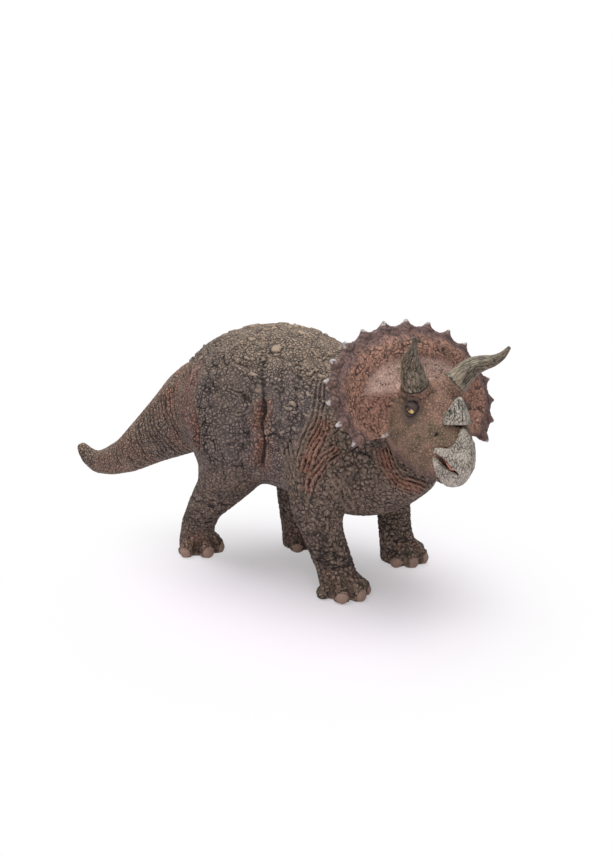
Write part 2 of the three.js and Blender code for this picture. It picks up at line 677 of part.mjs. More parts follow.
// The torso's hollow shell: recesses for the legs outside, sleeves for their pegs inside, and solid ends
// round the tail's and the neck's pegs.
function torsoShell() {
  const specs = Object.values(LEGS);
  const legPegs = (grow) => specs.map((spec) => legPeg(spec, grow));
  const seatFloor = (grow) => torso(-SEAT_DEPTH - GLUE_GAP - grow);
  const seats = (grow) => specs.map((spec) => cut(leg(spec, GLUE_GAP + grow), seatFloor(grow)));
  const hollowFrom = TAIL_PEG_LENGTH + GLUE_GAP + WALL - RUMP_REACH;
  const hollowTo = torsoAt(NECK_PEG_END_SHARE)[0] - GLUE_GAP - WALL;
  const ends = [hollowFrom - OVERRUN / 2, hollowTo + OVERRUN / 2];
  const solidEnds = ends.map((x) => block(OVERRUN, OVERRUN, OVERRUN, [x, 0, 0]));
  const hollow = cut(torsoHollow(), ...solidEnds, ...seats(WALL), ...legPegs(GLUE_GAP + WALL));
  return cut(torso(0), hollow, ...seats(0), ...legPegs(GLUE_GAP), tailPeg(GLUE_GAP), neckPeg(GLUE_GAP));
}

// A pin, its hole or its boss, across the seam at one of the listed spots.
function across([run, rise], radius, start, end) {
  const [x, y, z, , deep] = torsoAt(run);
  const height = z + (2 * rise - 1) * deep;
  return rod(vector(x, y + start, height), vector(x, y + end, height), radius);
}

// The half shells meet on an upright seam along the spine.
function seamSide(side) {
  const line = torsoSections.map(([x, y]) => [x, y + (side * GLUE_GAP) / 2]);
  const [[x0, y0], [x1, y1]] = [line[0], line.at(-1)];
  const slope = (y1 - line.at(-2)[1]) / (x1 - line.at(-2)[0]);
  const corners = [[x1 + OVERRUN, side * 2 * OVERRUN], [x0 - OVERRUN, side * 2 * OVERRUN]];
  return slab([[x0 - OVERRUN, y0], ...line, [x1 + OVERRUN, y1 + slope * OVERRUN], ...corners], true);
}

function torsoHalves() {
  const rods = (radius, length, more = 0) =>
    PIN_SHARES.map((spot) => across(spot, radius, -length, length + more));
  const bosses = rods(BOSS_RADIUS, BOSS_LENGTH).map((boss) => common(boss, torso(0)));
  const shell = join(torsoShell(), ...bosses);
  const pins = rods(PIN_RADIUS, PIN_LENGTH);
  const holes = rods(PIN_RADIUS + GLUE_GAP, PIN_LENGTH, GLUE_GAP);
  return [
    piece("torso_right_half", join(common(shell, seamSide(-1)), ...pins), FLESH),
    piece("torso_left_half", cut(common(shell, seamSide(1)), ...holes), FLESH),
  ];
}

const figure = new THREE.Group();
figure.add(
  ...torsoHalves(),
  tailPiece(),
  ...legPieces(),
  head(),
  beak("upper_beak", UPPER_BEAK_SHARES),
  beak("lower_beak", LOWER_BEAK_SHARES),
  tongue(),
  browHorn("right_brow_horn", -1),
  browHorn("left_brow_horn", 1),
  noseHorn(),
);

// The origin is the middle of the figure's bounding box, on the ground.
const bounds = new THREE.Box3().setFromObject(figure, true);
const middle = bounds.getCenter(new THREE.Vector3());
figure.position.set(-middle.x, -middle.y, -bounds.min.z);

const root = new THREE.Group();
root.add(figure);
export default root;
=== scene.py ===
"""A toy horned dinosaur figure: skin, frill, horns, beak, eyes and tongue, sculpted and painted over the frame.

The moulded skin of the torso halves, tail, legs and head is worked as one clay, so that its folds run on from
piece to piece, and is then parted along the moulding's seams. Lengths in the tables are millimetres.
"""

import json
import math

import bmesh
import bpy
import numpy as np
from bpy.props import FloatProperty, FloatVectorProperty, PointerProperty
from mathutils import Matrix, Vector
from mathutils.bvhtree import BVHTree
from mathutils.kdtree import KDTree

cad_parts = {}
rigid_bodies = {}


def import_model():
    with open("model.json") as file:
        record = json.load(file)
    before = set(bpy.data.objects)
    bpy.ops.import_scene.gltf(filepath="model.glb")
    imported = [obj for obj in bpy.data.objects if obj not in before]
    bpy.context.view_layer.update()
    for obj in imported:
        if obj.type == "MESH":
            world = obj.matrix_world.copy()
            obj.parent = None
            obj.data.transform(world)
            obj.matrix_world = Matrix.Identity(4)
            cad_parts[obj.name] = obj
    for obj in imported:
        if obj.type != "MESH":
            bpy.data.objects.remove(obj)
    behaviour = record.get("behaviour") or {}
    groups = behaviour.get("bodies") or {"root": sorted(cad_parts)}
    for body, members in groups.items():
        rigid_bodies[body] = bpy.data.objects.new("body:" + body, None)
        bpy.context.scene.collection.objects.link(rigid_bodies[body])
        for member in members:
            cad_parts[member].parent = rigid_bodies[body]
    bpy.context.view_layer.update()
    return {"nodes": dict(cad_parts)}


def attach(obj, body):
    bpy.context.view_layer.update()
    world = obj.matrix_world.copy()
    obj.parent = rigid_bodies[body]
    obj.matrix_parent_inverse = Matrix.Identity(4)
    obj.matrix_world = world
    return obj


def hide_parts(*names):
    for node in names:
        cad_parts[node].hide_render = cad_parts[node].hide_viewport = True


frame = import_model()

bl_info = {
    "name": "Toy dinosaur figure",
    "version": (1, 0, 0),
    "blender": (4, 5, 0),
    "location": "View3D > Sidebar > Figure",
    "description": "Sculpts and paints a moulded horned dinosaur figure",
    "category": "Object",
}

MM = 0.001
TINY = 1e-12
TORSO_NODES = ["torso_right_half", "torso_left_half"]
FRONT_NODES = ["right_front_leg", "left_front_leg"]
HIND_NODES = ["right_hind_leg", "left_hind_leg"]
SKIN_NODES = [*TORSO_NODES, "tail", *FRONT_NODES, *HIND_NODES, "head"]
TAIL, HEAD = SKIN_NODES.index("tail"), SKIN_NODES.index("head")

# Numbers on many points at once.

# Odd multipliers that scramble whole numbers, and the masks that keep them to 32 and to 24 bits.
SCRAMBLE = (374761393, 668265263, 1442695041, 1274126177)
BITS_32, BITS_24 = 0xFFFFFFFF, 0xFFFFFF
OCTAVE_SHIFT = 17.3
CLOUD_GAIN = 1.5


def smooth(low, high, value):
    share = np.clip((value - low) / (high - low), 0, 1)
    return share * share * (3 - 2 * share)


def window(value, start, full, fade, end):
    """0 up to the start, 1 from full to fade, 0 again from the end on."""
    return smooth(start, full, value) * smooth(end, fade, value)


def bump(distance, radius):
    """1 at no distance, 0 from the radius on, smooth at both ends."""
    return 1 - smooth(0, 1, distance / radius)


def bell(distance, width):
    return np.exp(-((distance / width) ** 2))


def norms(rows):
    return np.linalg.norm(rows, axis=1)


def unit(vector):
    return vector / np.linalg.norm(vector)


def columns(*values):
    return np.stack(values, 1)


def dice(cells, seed):
    """A number from 0 to 1 for each whole-numbered cell."""
    a, b, c, d = SCRAMBLE
    x, y, z = (cells[..., k].astype(np.int64) for k in range(3))
    h = (x * a + y * b + z * c + seed * d) & BITS_32
    h = ((h ^ (h >> 13)) * d) & BITS_32
    h = ((h ^ (h >> 15)) * b) & BITS_32
    return ((h ^ (h >> 16)) & BITS_24) / BITS_24


def clouds(points, size, seed, octaves=2):
    """Soft noise from -1 to 1, with blobs of about the given size."""
    total, weights = 0.0, [0.5**octave for octave in range(octaves)]
    for octave, weight in enumerate(weights):
        q = points / size * 2**octave + OCTAVE_SHIFT * octave
        cell = np.floor(q)
        f = smooth(0, 1, q - cell)
        value = 0.0
        for corner in np.ndindex(2, 2, 2):
            share = np.prod(np.where(corner, f, 1 - f), axis=1)
            value = value + share * dice(cell + corner, seed + octave)
        total = total + weight * (2 * value - 1)
    return total / sum(weights) * CLOUD_GAIN


def warps(points, size, seed):
    """Three soft noises that bend coordinates."""
    return columns(*(clouds(points, size=size, seed=seed + k) for k in range(3)))


def pebbles(points, size, seed, jitter=0.85):
    """For cells of about the given size: how far each point is inside its cell's edge (0 at the edge, about 1
    in the middle), and the cell's own random tone."""
    q = points / size
    cell = np.floor(q)
    first, second, tone = np.full(len(q), 9.0), np.full(len(q), 9.0), np.zeros(len(q))
    flat = not q[:, 2].any()
    for step in np.ndindex(3, 3, 1 if flat else 3):
        near = cell + (np.array(step) - (1, 1, 0 if flat else 1))
        seat = near + 0.5 + jitter * (columns(*(dice(near, seed + k) for k in range(3))) - 0.5)
        if flat:
            seat[:, 2] = 0
        d = np.sqrt(((q - seat) ** 2).sum(1))
        closer = d < first
        second = np.where(closer, first, np.minimum(second, d))
        tone = np.where(closer, dice(near, seed + 7), tone)
        first = np.where(closer, d, first)
    return np.clip((second - first) / 0.8, 0, 1), tone


def path_starts(path):
    """How far along a line of points each of them is."""
    return np.concatenate([[0], np.cumsum(norms(np.diff(path, axis=0)))])


def path_distance(points, path):
    """Each point's distance to a line of points, how far along it the nearest place is, from 0 to 1, and that
    place."""
    path = np.asarray(path, float)
    best, along, place = np.full(len(points), 1e9), np.zeros(len(points)), points.copy()
    lengths, starts = norms(np.diff(path, axis=0)), path_starts(path)
    for a, b, length, start in zip(path, path[1:], lengths, starts):
        t = np.clip(((points - a) @ (b - a)) / max(length**2, TINY), 0, 1)
        spot = a + t[:, None] * (b - a)
        d = norms(points - spot)
        near = d < best
        best = np.where(near, d, best)
        along = np.where(near, (start + t * length) / starts[-1], along)
        place = np.where(near[:, None], spot, place)
    return best, along, place


def curve(path, step=1.0):
    """A smooth line through the points, with points about a step apart."""
    path = np.asarray(path, float)
    out = []
    for k in range(len(path) - 1):
        p, q, r, s = (path[min(max(k + d, 0), len(path) - 1)] for d in (-1, 0, 1, 2))
        n = max(int(np.linalg.norm(r - q) / step), 1)
        for f in np.arange(n) / n:
            out.append(q + 0.5 * f * (r - p + f * (2 * p - 5 * q + 4 * r - s + f * (3 * (q - r) + s - p))))
    return np.array(out + [path[-1]])


# Where things are.

# The head's own frame: x to the snout, y to its left, z up, between the brow horns' roots.
HEAD_ORIGIN = np.array([86.88, -5.58, 95.3])
HEAD_TURN = math.radians(-23.7)
HEAD_ROLL = math.radians(-8.6)
HEAD_AXES = np.array(Matrix.Rotation(HEAD_TURN, 3, "Z") @ Matrix.Rotation(HEAD_ROLL, 3, "X"))

# The frill's half width and half height, the drop of its middle and how far back its root lies, in the head's
# frame; the width of its rim, and how much less that is at the top.
FRILL_HALF = (40.4, 27.0)
FRILL_DROP = 8.0
FRILL_ROOT = 10.5
RIM_WIDTH = 5.2
RIM_TAPER = 2.0
# Between which heights the neck turns into the head, and how far in front of the frill's middle the face begins.
NECK_TOP = (-36, -30)
FACE_EDGE = (2.2, 6.5)

# The plane between the figure's two sides, and the barrel round which the back's scales are laid.
MIDDLE = 5.12
BARREL_AXIS = 62
BARREL_RADIUS = 38
HIP = (-1.4, MIDDLE, 87.5)

# The tail's middle line in that plane, from the rump to its tip: forward and up.
TAIL_PLACES = [
    (-33.2, 64.1), (-41.9, 59.4), (-51.8, 51.9), (-66.7, 41.3), (-80.3, 31.3),
    (-91.5, 26.0), (-99.5, 24.0), (-105.1, 26.0), (-109.5, 30.4),
]
TAIL_LINE = curve([(x, MIDDLE, z) for x, z in TAIL_PLACES], 3.0)

# Folds of the right side: half width, depth, how far the front side stands proud of the rear one, how red it
# is painted, how far the red spreads (less than 0: on the rear side only), how many run side by side and how
# far apart, and its points.
FOLDS = [
    (1.3, 0.35, 0, 0, 0, 1, 0, [(4.0, -3.0, 102.8), (9.0, -9.0, 101.9), (11.1, -14.6, 98.8), (13.7, -20.4, 92.3)]),
    (1.9, 0.8, 0, 0, 0, 1, 0, [(11.5, -15.2, 98.0), (13.7, -20.4, 92.3), (17.3, -25.0, 84.1), (18.5, -27.7, 74.2)]),
    (1.5, 2.4, 0, 1.0, 7.0, 1, 0, [
        (16.8, -24.6, 83.5), (18.9, -26.8, 78.0), (17.6, -27.7, 72.6), (18.9, -27.9, 65.5), (17.0, -26.2, 57.0),
        (13.1, -22.4, 49.7),
    ]),
    (1.2, 1.0, 2.4, 1.0, -12, 1, 0, [
        (-39.5, -0.2, 84.0), (-33.0, -9.0, 84.5), (-23.5, -20.7, 83.0), (-18.4, -26.3, 78.6), (-14.4, -29.8, 73.5),
        (-12.1, -30.9, 67.5), (-11.5, -30.6, 60.9), (-13.0, -27.0, 50.0),
    ]),
    (0.75, 1.0, 0, 0.15, 3.0, 3, 2.0, [
        (37.9, -10.0, 92.4), (38.2, -13.0, 90.1), (39.6, -16.6, 85.0), (41.0, -21.4, 77.3), (39.6, -24.8, 71.8),
        (38.5, -26.5, 66.7), (37.9, -28.6, 59.4), (37.7, -29.1, 54.7),
    ]),
    (0.75, 1.1, 0, 0.95, 6.0, 4, 1.8, [
        (44.6, -20.2, 78.4), (45.1, -22.8, 74.4), (44.2, -24.9, 70.2), (42.6, -27.2, 65.2), (41.4, -29.0, 59.7),
        (39.8, -29.3, 54.0),
    ]),
    (0.75, 1.0, 0, 0.75, 5.0, 3, 2.0, [
        (52.4, -21.0, 67.0), (49.5, -26.1, 63.2), (46.3, -28.3, 58.7), (43.6, -29.4, 52.8), (42.0, -29.8, 46.0),
    ]),
    (0.7, 1.0, 0, 1.0, 5.5, 5, 1.7, [
        (68.2, -13.9, 69.0), (69.9, -15.5, 65.3), (72.9, -16.5, 59.9), (77.4, -16.4, 55.6), (83.2, -14.8, 52.9),
        (86.0, -8.0, 50.0),
    ]),
    (0.6, 0.7, 0, 0.2, 3.0, 3, 1.7, [
        (76.7, -15.8, 59.1), (81.4, -15.8, 56.7), (84.8, -13.7, 54.6), (87.0, -9.3, 51.9),
    ]),
    (0.8, 0.8, 0, 0, 0, 3, 2.2, [(29.2, -27.4, 68.2), (30.9, -26.9, 62.4), (33.9, -27.9, 56.7), (36.5, -29.0, 51.7)]),
    (0.9, 0.45, 0, 0, 0, 3, 2.4, [(50.9, -26.3, 56.4), (54.4, -22.5, 47.3), (53.5, -14.8, 39.0), (52.9, -8.8, 35.3)]),
    (0.9, 0.6, 0, 0, 0, 1, 0, [(-3.8, -18.2, 94.7), (0.1, -19.0, 93.8), (6.5, -20.2, 93.0), (10.8, -20.0, 93.2)]),
    (0.9, 0.6, 0, 0, 0, 1, 0, [(17.2, -10.7, 100.1), (22.5, -17.9, 93.1), (25.6, -24.1, 83.1), (27.4, -26.9, 73.4)]),
    (0.8, 0.6, 0, 0, 0, 1, 0, [(26.3, -7.8, 99.6), (29.2, -15.4, 93.4), (32.0, -21.9, 83.6), (34.0, -25.0, 74.2)]),
    (0.6, 0.4, 0, 0.2, 1.5, 1, 0, [
        (95.9, -24.4, 74.5), (93.2, -24.7, 72.8), (92.6, -24.7, 70.0), (94.4, -24.0, 66.6),
    ]),
    (0.6, 0.6, 0, 0, 0, 2, 1.8, [(0.4, -26.6, 84.0), (4.4, -26.0, 83.2), (10.9, -25.2, 84.4)]),
    (0.6, 0.6, 0, 0, 0, 2, 1.8, [(3.6, -29.2, 75.8), (8.1, -28.5, 75.2), (13.4, -27.3, 76.6)]),
    (0.6, 0.5, 0, 0, 0, 1, 0, [(0.3, -30.2, 61.0), (4.3, -29.3, 61.8), (11.6, -27.4, 62.4)]),
]
MIRRORED_STEP = 0.4

# Feet: middle, half length and half width, and side. Toes: heading outward from straight ahead, and size.
HIND_TOES = [(85, 0.95), (28, 1.05), (-18, 1.0), (-65, 0.85)]
FRONT_TOES = [(110, 0.8), (58, 1.0), (13, 1.05), (-29, 0.95), (-66, 0.75)]
FEET = [
    (-29.32, -10.52, 8.2, 7.83, -1, HIND_TOES),
    (5.88, 20.08, 8.2, 7.83, 1, HIND_TOES),
    (50.28, -16.64, 9.0, 7.7, -1, FRONT_TOES),
    (52.68, 28.92, 8.7, 7.48, 1, FRONT_TOES),
]
# Where on its toe a nail starts and at what height, and where nails, their cuffs and the clefts fade out
# sideways. A toe that heads further out than this has no nail. Between which heights the toes' zone fades out.
NAIL_START = 2.3
NAIL_HEIGHT = 2.1
NAIL_EDGE = (3.5, 3.0)
CUFF_EDGE = (4.2, 3.3)
CLEFT_WIDTH = 1.2
NAIL_LESS_HEADING = 100
TOES_TOP = (17, 9)

# On the head, in its own frame. The eyes and nostrils are the right ones. Lid rings: radius and depth.
EYE = np.array([3.92, -12.92, -9.36])
EYE_RADIUS = 2.45
EYE_GAZE = np.array([0.6, -0.79, 0.1])
PUPIL_AIM = np.array([0.40, -0.87, 0.29])
LID_RINGS = ((2.5, 0.45), (3.2, 0.35), (3.9, 0.32), (4.7, 0.22))
LID_RING_WIDTH = 0.26
LID_OPENING = (1.4, 0.85)
LID_SLANT = 0.42
LID_BRIM = 0.42
NOSTRIL = np.array([15.6, -7.9, -16.7])
NOSTRIL_SLANT = np.array([[1, 0, 0.35], [0, 0.8, 0], [-0.35, 0, 1]])
# Where the mouth's slit starts, a place on it and how it slopes.
MOUTH_CORNER = 17.5
MOUTH_PLACE = (17.6, -24.8)
MOUTH_SLOPE = -0.42

# The frill's spikes: their turns from its top and how far they reach past its rim. The cheeks' are in the world.
SPIKE_STEP = math.radians(252) / 16
SPIKE_TURNS = SPIKE_STEP * (np.arange(17) - 8)
SPIKE_REACH = 2.9
CHEEK_SPIKES = [(75.6, -25.6, 76.6), (88.6, 26.8, 69.8)]

# A brow horn's middle line: forward, outward, up as shares of its tip's place, and radius in millimetres.
HORN_TIP = {"right_brow_horn": (13.3, -24.0, 21.0), "left_brow_horn": (13.3, 24.0, 17.5)}
HORN_ROWS = [
    (-0.04, 0.36, -0.10, 4.8),
    (0.0, 0.417, 0.0, 5.2),
    (0.045, 0.483, 0.116, 5.0),
    (0.135, 0.575, 0.3, 4.5),
    (0.24, 0.675, 0.45, 3.9),
    (0.43, 0.775, 0.56, 3.2),
    (0.68, 0.865, 0.66, 2.4),
    (0.88, 0.94, 0.81, 1.65),
    (1.0, 1.0, 1.0, 0.85),
]
HORN_SIDES = 96
HORN_STEP = 0.32
# The radius at which the grain is laid round a horn, so that it narrows with the horn.
HORN_TRACK = 4.2
HORN_CAP = np.linspace(0, 0.96, 7)[1:]


def to_head(points):
    return (points - HEAD_ORIGIN) @ HEAD_AXES


def from_head(points):
    return np.asarray(points, float) @ HEAD_AXES.T + HEAD_ORIGIN


def mirrored(path):
    """The same line on the figure's left."""
    return [(x, 2 * MIDDLE - y, z) for x, y, z in path]


def feet():
    """Each foot's middle, and for each of its toes: which way it points, its edge from the middle, its heading
    and its size."""
    for x, y, long, wide, side, toes in FEET:
        spread = []
        for heading, size in toes:
            turn = side * math.radians(heading)
            way = np.array([math.cos(turn), math.sin(turn), 0])
            spread.append((way, way * (long, wide, 0), heading, size))
        yield np.array([x, y, 0]), spread


def frill_point(turn, share, reach=0.0):
    """A point of the frill's middle surface in the head's frame: turn from the top, share out to the rim."""
    aside, up = np.sin(turn), np.cos(turn)
    rim = 5 * up**2 - 15.5 * up - 13.2
    forward = (rim + FRILL_ROOT) * share**3 - FRILL_ROOT
    width, height = (share * half + reach for half in FRILL_HALF)
    return np.stack([forward, aside * width, up * height - FRILL_DROP], -1)


class Places:
    """What lies where, for each point of the skin: soft masks from 0 to 1."""

    def __init__(self, clay):
        at = clay.at
        _, y, z = at.T
        self.torso, self.front, self.hind, self.tail, self.head = (
            sum(clay.paint["in_" + node] for node in nodes)
            for nodes in (TORSO_NODES, FRONT_NODES, HIND_NODES, ["tail"], ["head"])
        )
        self.girth = np.arctan2(y - MIDDLE, z - BARREL_AXIS) * BARREL_RADIUS

        self.in_head = h = to_head(at)
        aside, up = h[:, 1] / FRILL_HALF[0], (h[:, 2] + FRILL_DROP) / FRILL_HALF[1]
        self.share = np.hypot(aside, up)
        self.turn = np.arctan2(aside, up)
        sheet = frill_point(self.turn, np.minimum(self.share, 1.1))[:, 0]
        self.radius = np.hypot(FRILL_HALF[0] * np.sin(self.turn), FRILL_HALF[1] * np.cos(self.turn))
        self.from_rim = (1 - self.share) * self.radius
        above = smooth(*NECK_TOP, h[:, 2])
        self.facing = smooth(-0.25, 0.25, (clay.normal @ HEAD_AXES)[:, 0])
        self.face = self.head * smooth(*FACE_EDGE, h[:, 0] - sheet) * above
        self.frill = self.head * above * (1 - self.face)
        rim_width = RIM_WIDTH - RIM_TAPER * np.clip(np.cos(self.turn), 0, 1)
        from_rim = self.from_rim + 1.1 * clouds(at, size=2.4, seed=71, octaves=1)
        self.rim = self.frill * smooth(rim_width + 1.6, rim_width - 1.2, from_rim)
        self.neck = self.head * (1 - above)
        self.body = 1 - np.clip(self.face + self.frill, 0, 1)

        self.nail, self.cuff, self.cleft = np.zeros((3, len(at)))
        self.toes = smooth(*TOES_TOP, z) * (self.front + self.hind)
        for middle, toes in feet():
            for way, out, heading, size in toes:
                offset = at - (middle + out + (0, 0, NAIL_HEIGHT * size))
                ahead = offset @ way
                beside = norms(offset - ahead[:, None] * way) / size
                start = ahead / size - 0.1 * beside**2 - NAIL_START
                painted = smooth(-0.2, 0.2, start) * smooth(*NAIL_EDGE, beside) * (heading < NAIL_LESS_HEADING)
                self.nail = np.maximum(self.nail, painted)
                self.cuff = np.maximum(self.cuff, bump(np.abs(start + 1.0), 1.0) * smooth(*CUFF_EDGE, beside))
            offset = at - middle
            outs = [toe[1] for toe in toes]
            for one, other in zip(outs, outs[1:]):
                between = unit(one + other)
                gap = 0.5 * (np.linalg.norm(one) + np.linalg.norm(other))
                ahead = offset @ between
                across = norms((offset - ahead[:, None] * between) * (1, 1, 0))
                place = window(ahead, gap - 4.5, gap - 1, gap + 5, gap + 8) * smooth(11, 6, z)
                self.cleft = np.maximum(self.cleft, place * bell(across, CLEFT_WIDTH))
        self.nail *= 1 - smooth(0.2, 0.5, self.cleft)


# Meshes as clay.

LEAST_MASK = 0.02
MERGE_DISTANCE = 1e-5


def read(items, name, width=1, kind=float):
    """One value, or a row of values, for each of a mesh's points, edges or faces."""
    values = np.empty(len(items) * width, kind)
    items.foreach_get(name, values)
    return values.reshape(-1, width) if width > 1 else values


class Clay:
    """A mesh's points and normals in millimetres, its edges, and the paint that each point carries."""

    def __init__(self, piece):
        self.mesh = piece.data
        self.at = read(self.mesh.vertices, "co", 3) / MM
        self.edges = read(self.mesh.edges, "vertices", 2, np.int64)
        self.valence = np.maximum(np.bincount(self.edges.ravel(), minlength=len(self.at)), 1)
        self.paint = {
            layer.name: read(layer.data, "value")
            for layer in self.mesh.attributes
            if layer.data_type == "FLOAT" and layer.domain == "POINT"
        }
        self.measure()

    def measure(self):
        """Writes the points to the mesh and reads its normals."""
        self.mesh.vertices.foreach_set("co", (self.at * MM).ravel())
        self.mesh.update()
        self.normal = read(self.mesh.vertex_normals, "vector", 3)

    def mean(self, values):
        """The mean of each point's neighbours."""
        a, b = self.edges.T
        if values.ndim > 1:
            return columns(*(self.mean(column) for column in values.T))
        total = np.bincount(a, values[b], len(values)) + np.bincount(b, values[a], len(values))
        return total / self.valence

    def soften(self, weight, rounds):
        for _ in range(rounds):
            self.at += (np.asarray(weight) * 0.5)[..., None] * (self.mean(self.at) - self.at)

    def spread(self, values, rounds):
        for _ in range(rounds):
            values = 0.5 * values + 0.5 * self.mean(values)
        return values

    def sunk(self, rounds):
        """How far each point lies below the surface round it; less than 0 on tops."""
        return ((self.spread(self.at, rounds) - self.at) * self.normal).sum(1)

    def push(self, height):
        """Moves each point out along its normal."""
        self.at += height[:, None] * self.normal

    def daub(self, name, amount, where=slice(None)):
        """Adds paint, up to full cover, on all points or on the given ones."""
        paint = self.paint.setdefault(name, np.zeros(len(self.at)))
        paint[where] = np.clip(np.maximum(paint[where], amount), 0, 1)

    def keep_paint(self):
        for name, values in self.paint.items():
            lay_paint(self.mesh, name, values)


def lay_paint(mesh, name, values):
    """Keeps one number, or three, for each point of a mesh."""
    kind, key = ("FLOAT", "value") if values.ndim == 1 else ("FLOAT_VECTOR", "vector")
    layer = mesh.attributes.get(name) or mesh.attributes.new(name, kind, "POINT")
    layer.data.foreach_set(key, values.astype(np.float32).ravel())


class Grain:
    """Grooves, heights and tops as they build up over the points, each kind only where its mask is."""

    def __init__(self, count):
        self.height, self.groove, self.tops, self.plates = np.zeros((4, count))
        self.tone = np.full(count, 0.5)

    def lay_cells(self, mask, coordinates, size, depth, seed, width=0.34, gaps=0.0, crown=0.0, stain=1.0):
        """Scales with grooves between them. Gaps closes some grooves, so that scales run together."""
        on = mask > LEAST_MASK
        q, share = coordinates[on], mask[on]
        inside, tone = pebbles(q, size, seed)
        groove = 1 - smooth(0.02, width, inside)
        if gaps:
            groove = groove * smooth(-gaps, 0.35 - gaps, clouds(q, size=1.3 * size, seed=seed + 60, octaves=1))
        self.height[on] += share * (crown * smooth(0, 0.8, inside) - depth * groove)
        self.groove[on] = np.maximum(self.groove[on], stain * share * groove)
        self.tops[on] = np.maximum(self.tops[on], share * smooth(width, 0.85, inside) * (0.45 + 0.55 * tone))
        self.tone[on] += share * (tone - 0.5)

    def lay_plates(self, mask, coordinates, size, lift, seed, share_of_cells):
        """Larger raised scales, here and there."""
        on = mask > LEAST_MASK
        inside, tone = pebbles(coordinates[on], size, seed)
        chosen = smooth(1 - share_of_cells, 1.06 - share_of_cells, tone)
        plate = chosen * smooth(0.35, 0.6, inside) * mask[on]
        moat = chosen * bump(np.abs(inside - 0.22), 0.22) * mask[on]
        self.groove[on] = np.maximum(self.groove[on] * (1 - 0.8 * plate), 0.9 * moat)
        self.height[on] = self.height[on] * (1 - 0.7 * plate) + lift * plate - 0.5 * lift * moat
        self.tops[on] = np.maximum(self.tops[on], plate)
        self.plates[on] = np.maximum(self.plates[on], plate)

    def lay_lines(self, mask, coordinates, depth, seed, width=0.16, breaks=0.0):
        """Wandering wrinkles. The coordinates are in units of their spacing."""
        on = mask > LEAST_MASK
        q = coordinates[on]
        line = (1 - smooth(0.25 * width, width, pebbles(q, size=1.0, seed=seed, jitter=0.7)[0])) * mask[on]
        if breaks:
            line = line * smooth(-breaks, 0.4 - breaks, clouds(q, size=1.4, seed=seed + 90, octaves=1))
        self.height[on] -= depth * line
        self.groove[on] = np.maximum(self.groove[on], line)
        self.tops[on] *= 1 - line

    def lay_bands(self, mask, phase, across, depth, seed, width=0.2):
        """Grooves side by side, one at each whole number of the phase, each broken here and there."""
        number = np.round(phase)
        off = np.abs(phase - number)
        breaks = clouds(columns(3.7 * number, across, 0 * across), size=1, seed=seed, octaves=1)
        line = smooth(width, 0.3 * width, off) * mask * smooth(-0.55, -0.1, breaks)
        self.height += depth * (0.3 * smooth(0.5, 0.25, off) * mask - line)
        self.groove = np.maximum(self.groove, line)
        self.tops *= 1 - line

    def calm(self, mask):
        """Smooths the grain away where the mask is."""
        for name in ("height", "groove", "tops"):
            setattr(self, name, getattr(self, name) * (1 - mask))


def clear_selection():
    for piece in bpy.context.view_layer.objects.selected:
        piece.select_set(False)


def add_piece(name, data):
    piece = bpy.data.objects.new(name, data)
    bpy.context.scene.collection.objects.link(piece)
    return piece


def hold(*pieces):
    """Selects the pieces alone and makes the first one active."""
    clear_selection()
    for piece in pieces:
        piece.select_set(True)
    bpy.context.view_layer.objects.active = pieces[0]


def apply_modifier(piece, kind, **settings):
    hold(piece)
    modifier = piece.modifiers.new(kind.title(), kind)
    for key, value in settings.items():
        setattr(modifier, key, value)
    bpy.ops.object.modifier_apply(modifier=modifier.name)


def reshape(piece, work):
    """Does a piece of work on a mesh's faces, edges and points."""
    shape = bmesh.new()
    shape.from_mesh(piece.data)
    work(shape)
    shape.to_mesh(piece.data)
    shape.free()


def merged_copy(name, node):
    """A copy of a node's mesh with its loose triangles joined."""
    piece = add_piece(name, frame["nodes"][node].data.copy())
    piece.data.materials.clear()
    reshape(piece, lambda shape: bmesh.ops.remove_doubles(shape, verts=shape.verts, dist=MERGE_DISTANCE))
    for layer in list(piece.data.attributes):
        if layer.name.startswith(("UV", "custom_normal")):
            piece.data.attributes.remove(layer)
    return piece


def keep_outside(shape):
    """Deletes every shell but the largest."""
    seen, shells = set(), []
    for first in shape.verts:
        if first in seen:
            continue
        seen.add(first)
        shell, front = [first], [first]
        while front:
            front = [edge.other_vert(vert) for vert in front for edge in vert.link_edges]
            front = [vert for vert in dict.fromkeys(front) if vert not in seen]
            seen.update(front)
            shell += front
        shells.append(shell)
    shells.sort(key=len)
    bmesh.ops.delete(shape, geom=[vert for shell in shells[:-1] for vert in shell], context="VERTS")


def fuse(nodes, grain, grow=0.2, trim=None):
    """The nodes' solids, grown until their glue gaps close, as one closed clay, and each point's node number."""
    parts = [merged_copy("clay_" + node, node) for node in nodes]
    corners, faces, owner = [], [], []
    for number, part in enumerate(parts):
        if trim:
            reshape(part, trim)
        apply_modifier(part, "DISPLACE", strength=grow * MM, mid_level=0.0)
        first = len(corners)
        corners += [v.co.copy() for v in part.data.vertices]
        faces += [[first + k for k in face.vertices] for face in part.data.polygons]
        owner += [number] * len(part.data.polygons)
    tree = BVHTree.FromPolygons(corners, faces)
    hold(*parts)
    if len(parts) > 1:
        bpy.ops.object.join()
    piece = bpy.context.view_layer.objects.active
    piece.name = piece.data.name = "clay"
    apply_modifier(piece, "REMESH", mode="VOXEL", voxel_size=grain * MM, adaptivity=0)
    reshape(piece, keep_outside)
    label = np.array([owner[tree.find_nearest(v.co)[2]] for v in piece.data.vertices])
    return piece, label


def share_out(piece, label):
    """Gives each face the number of the node that most of its corners belong to."""
    for face in piece.data.polygons:
        votes = [label[k] for k in face.vertices]
        face.material_index = max(set(votes), key=votes.count)


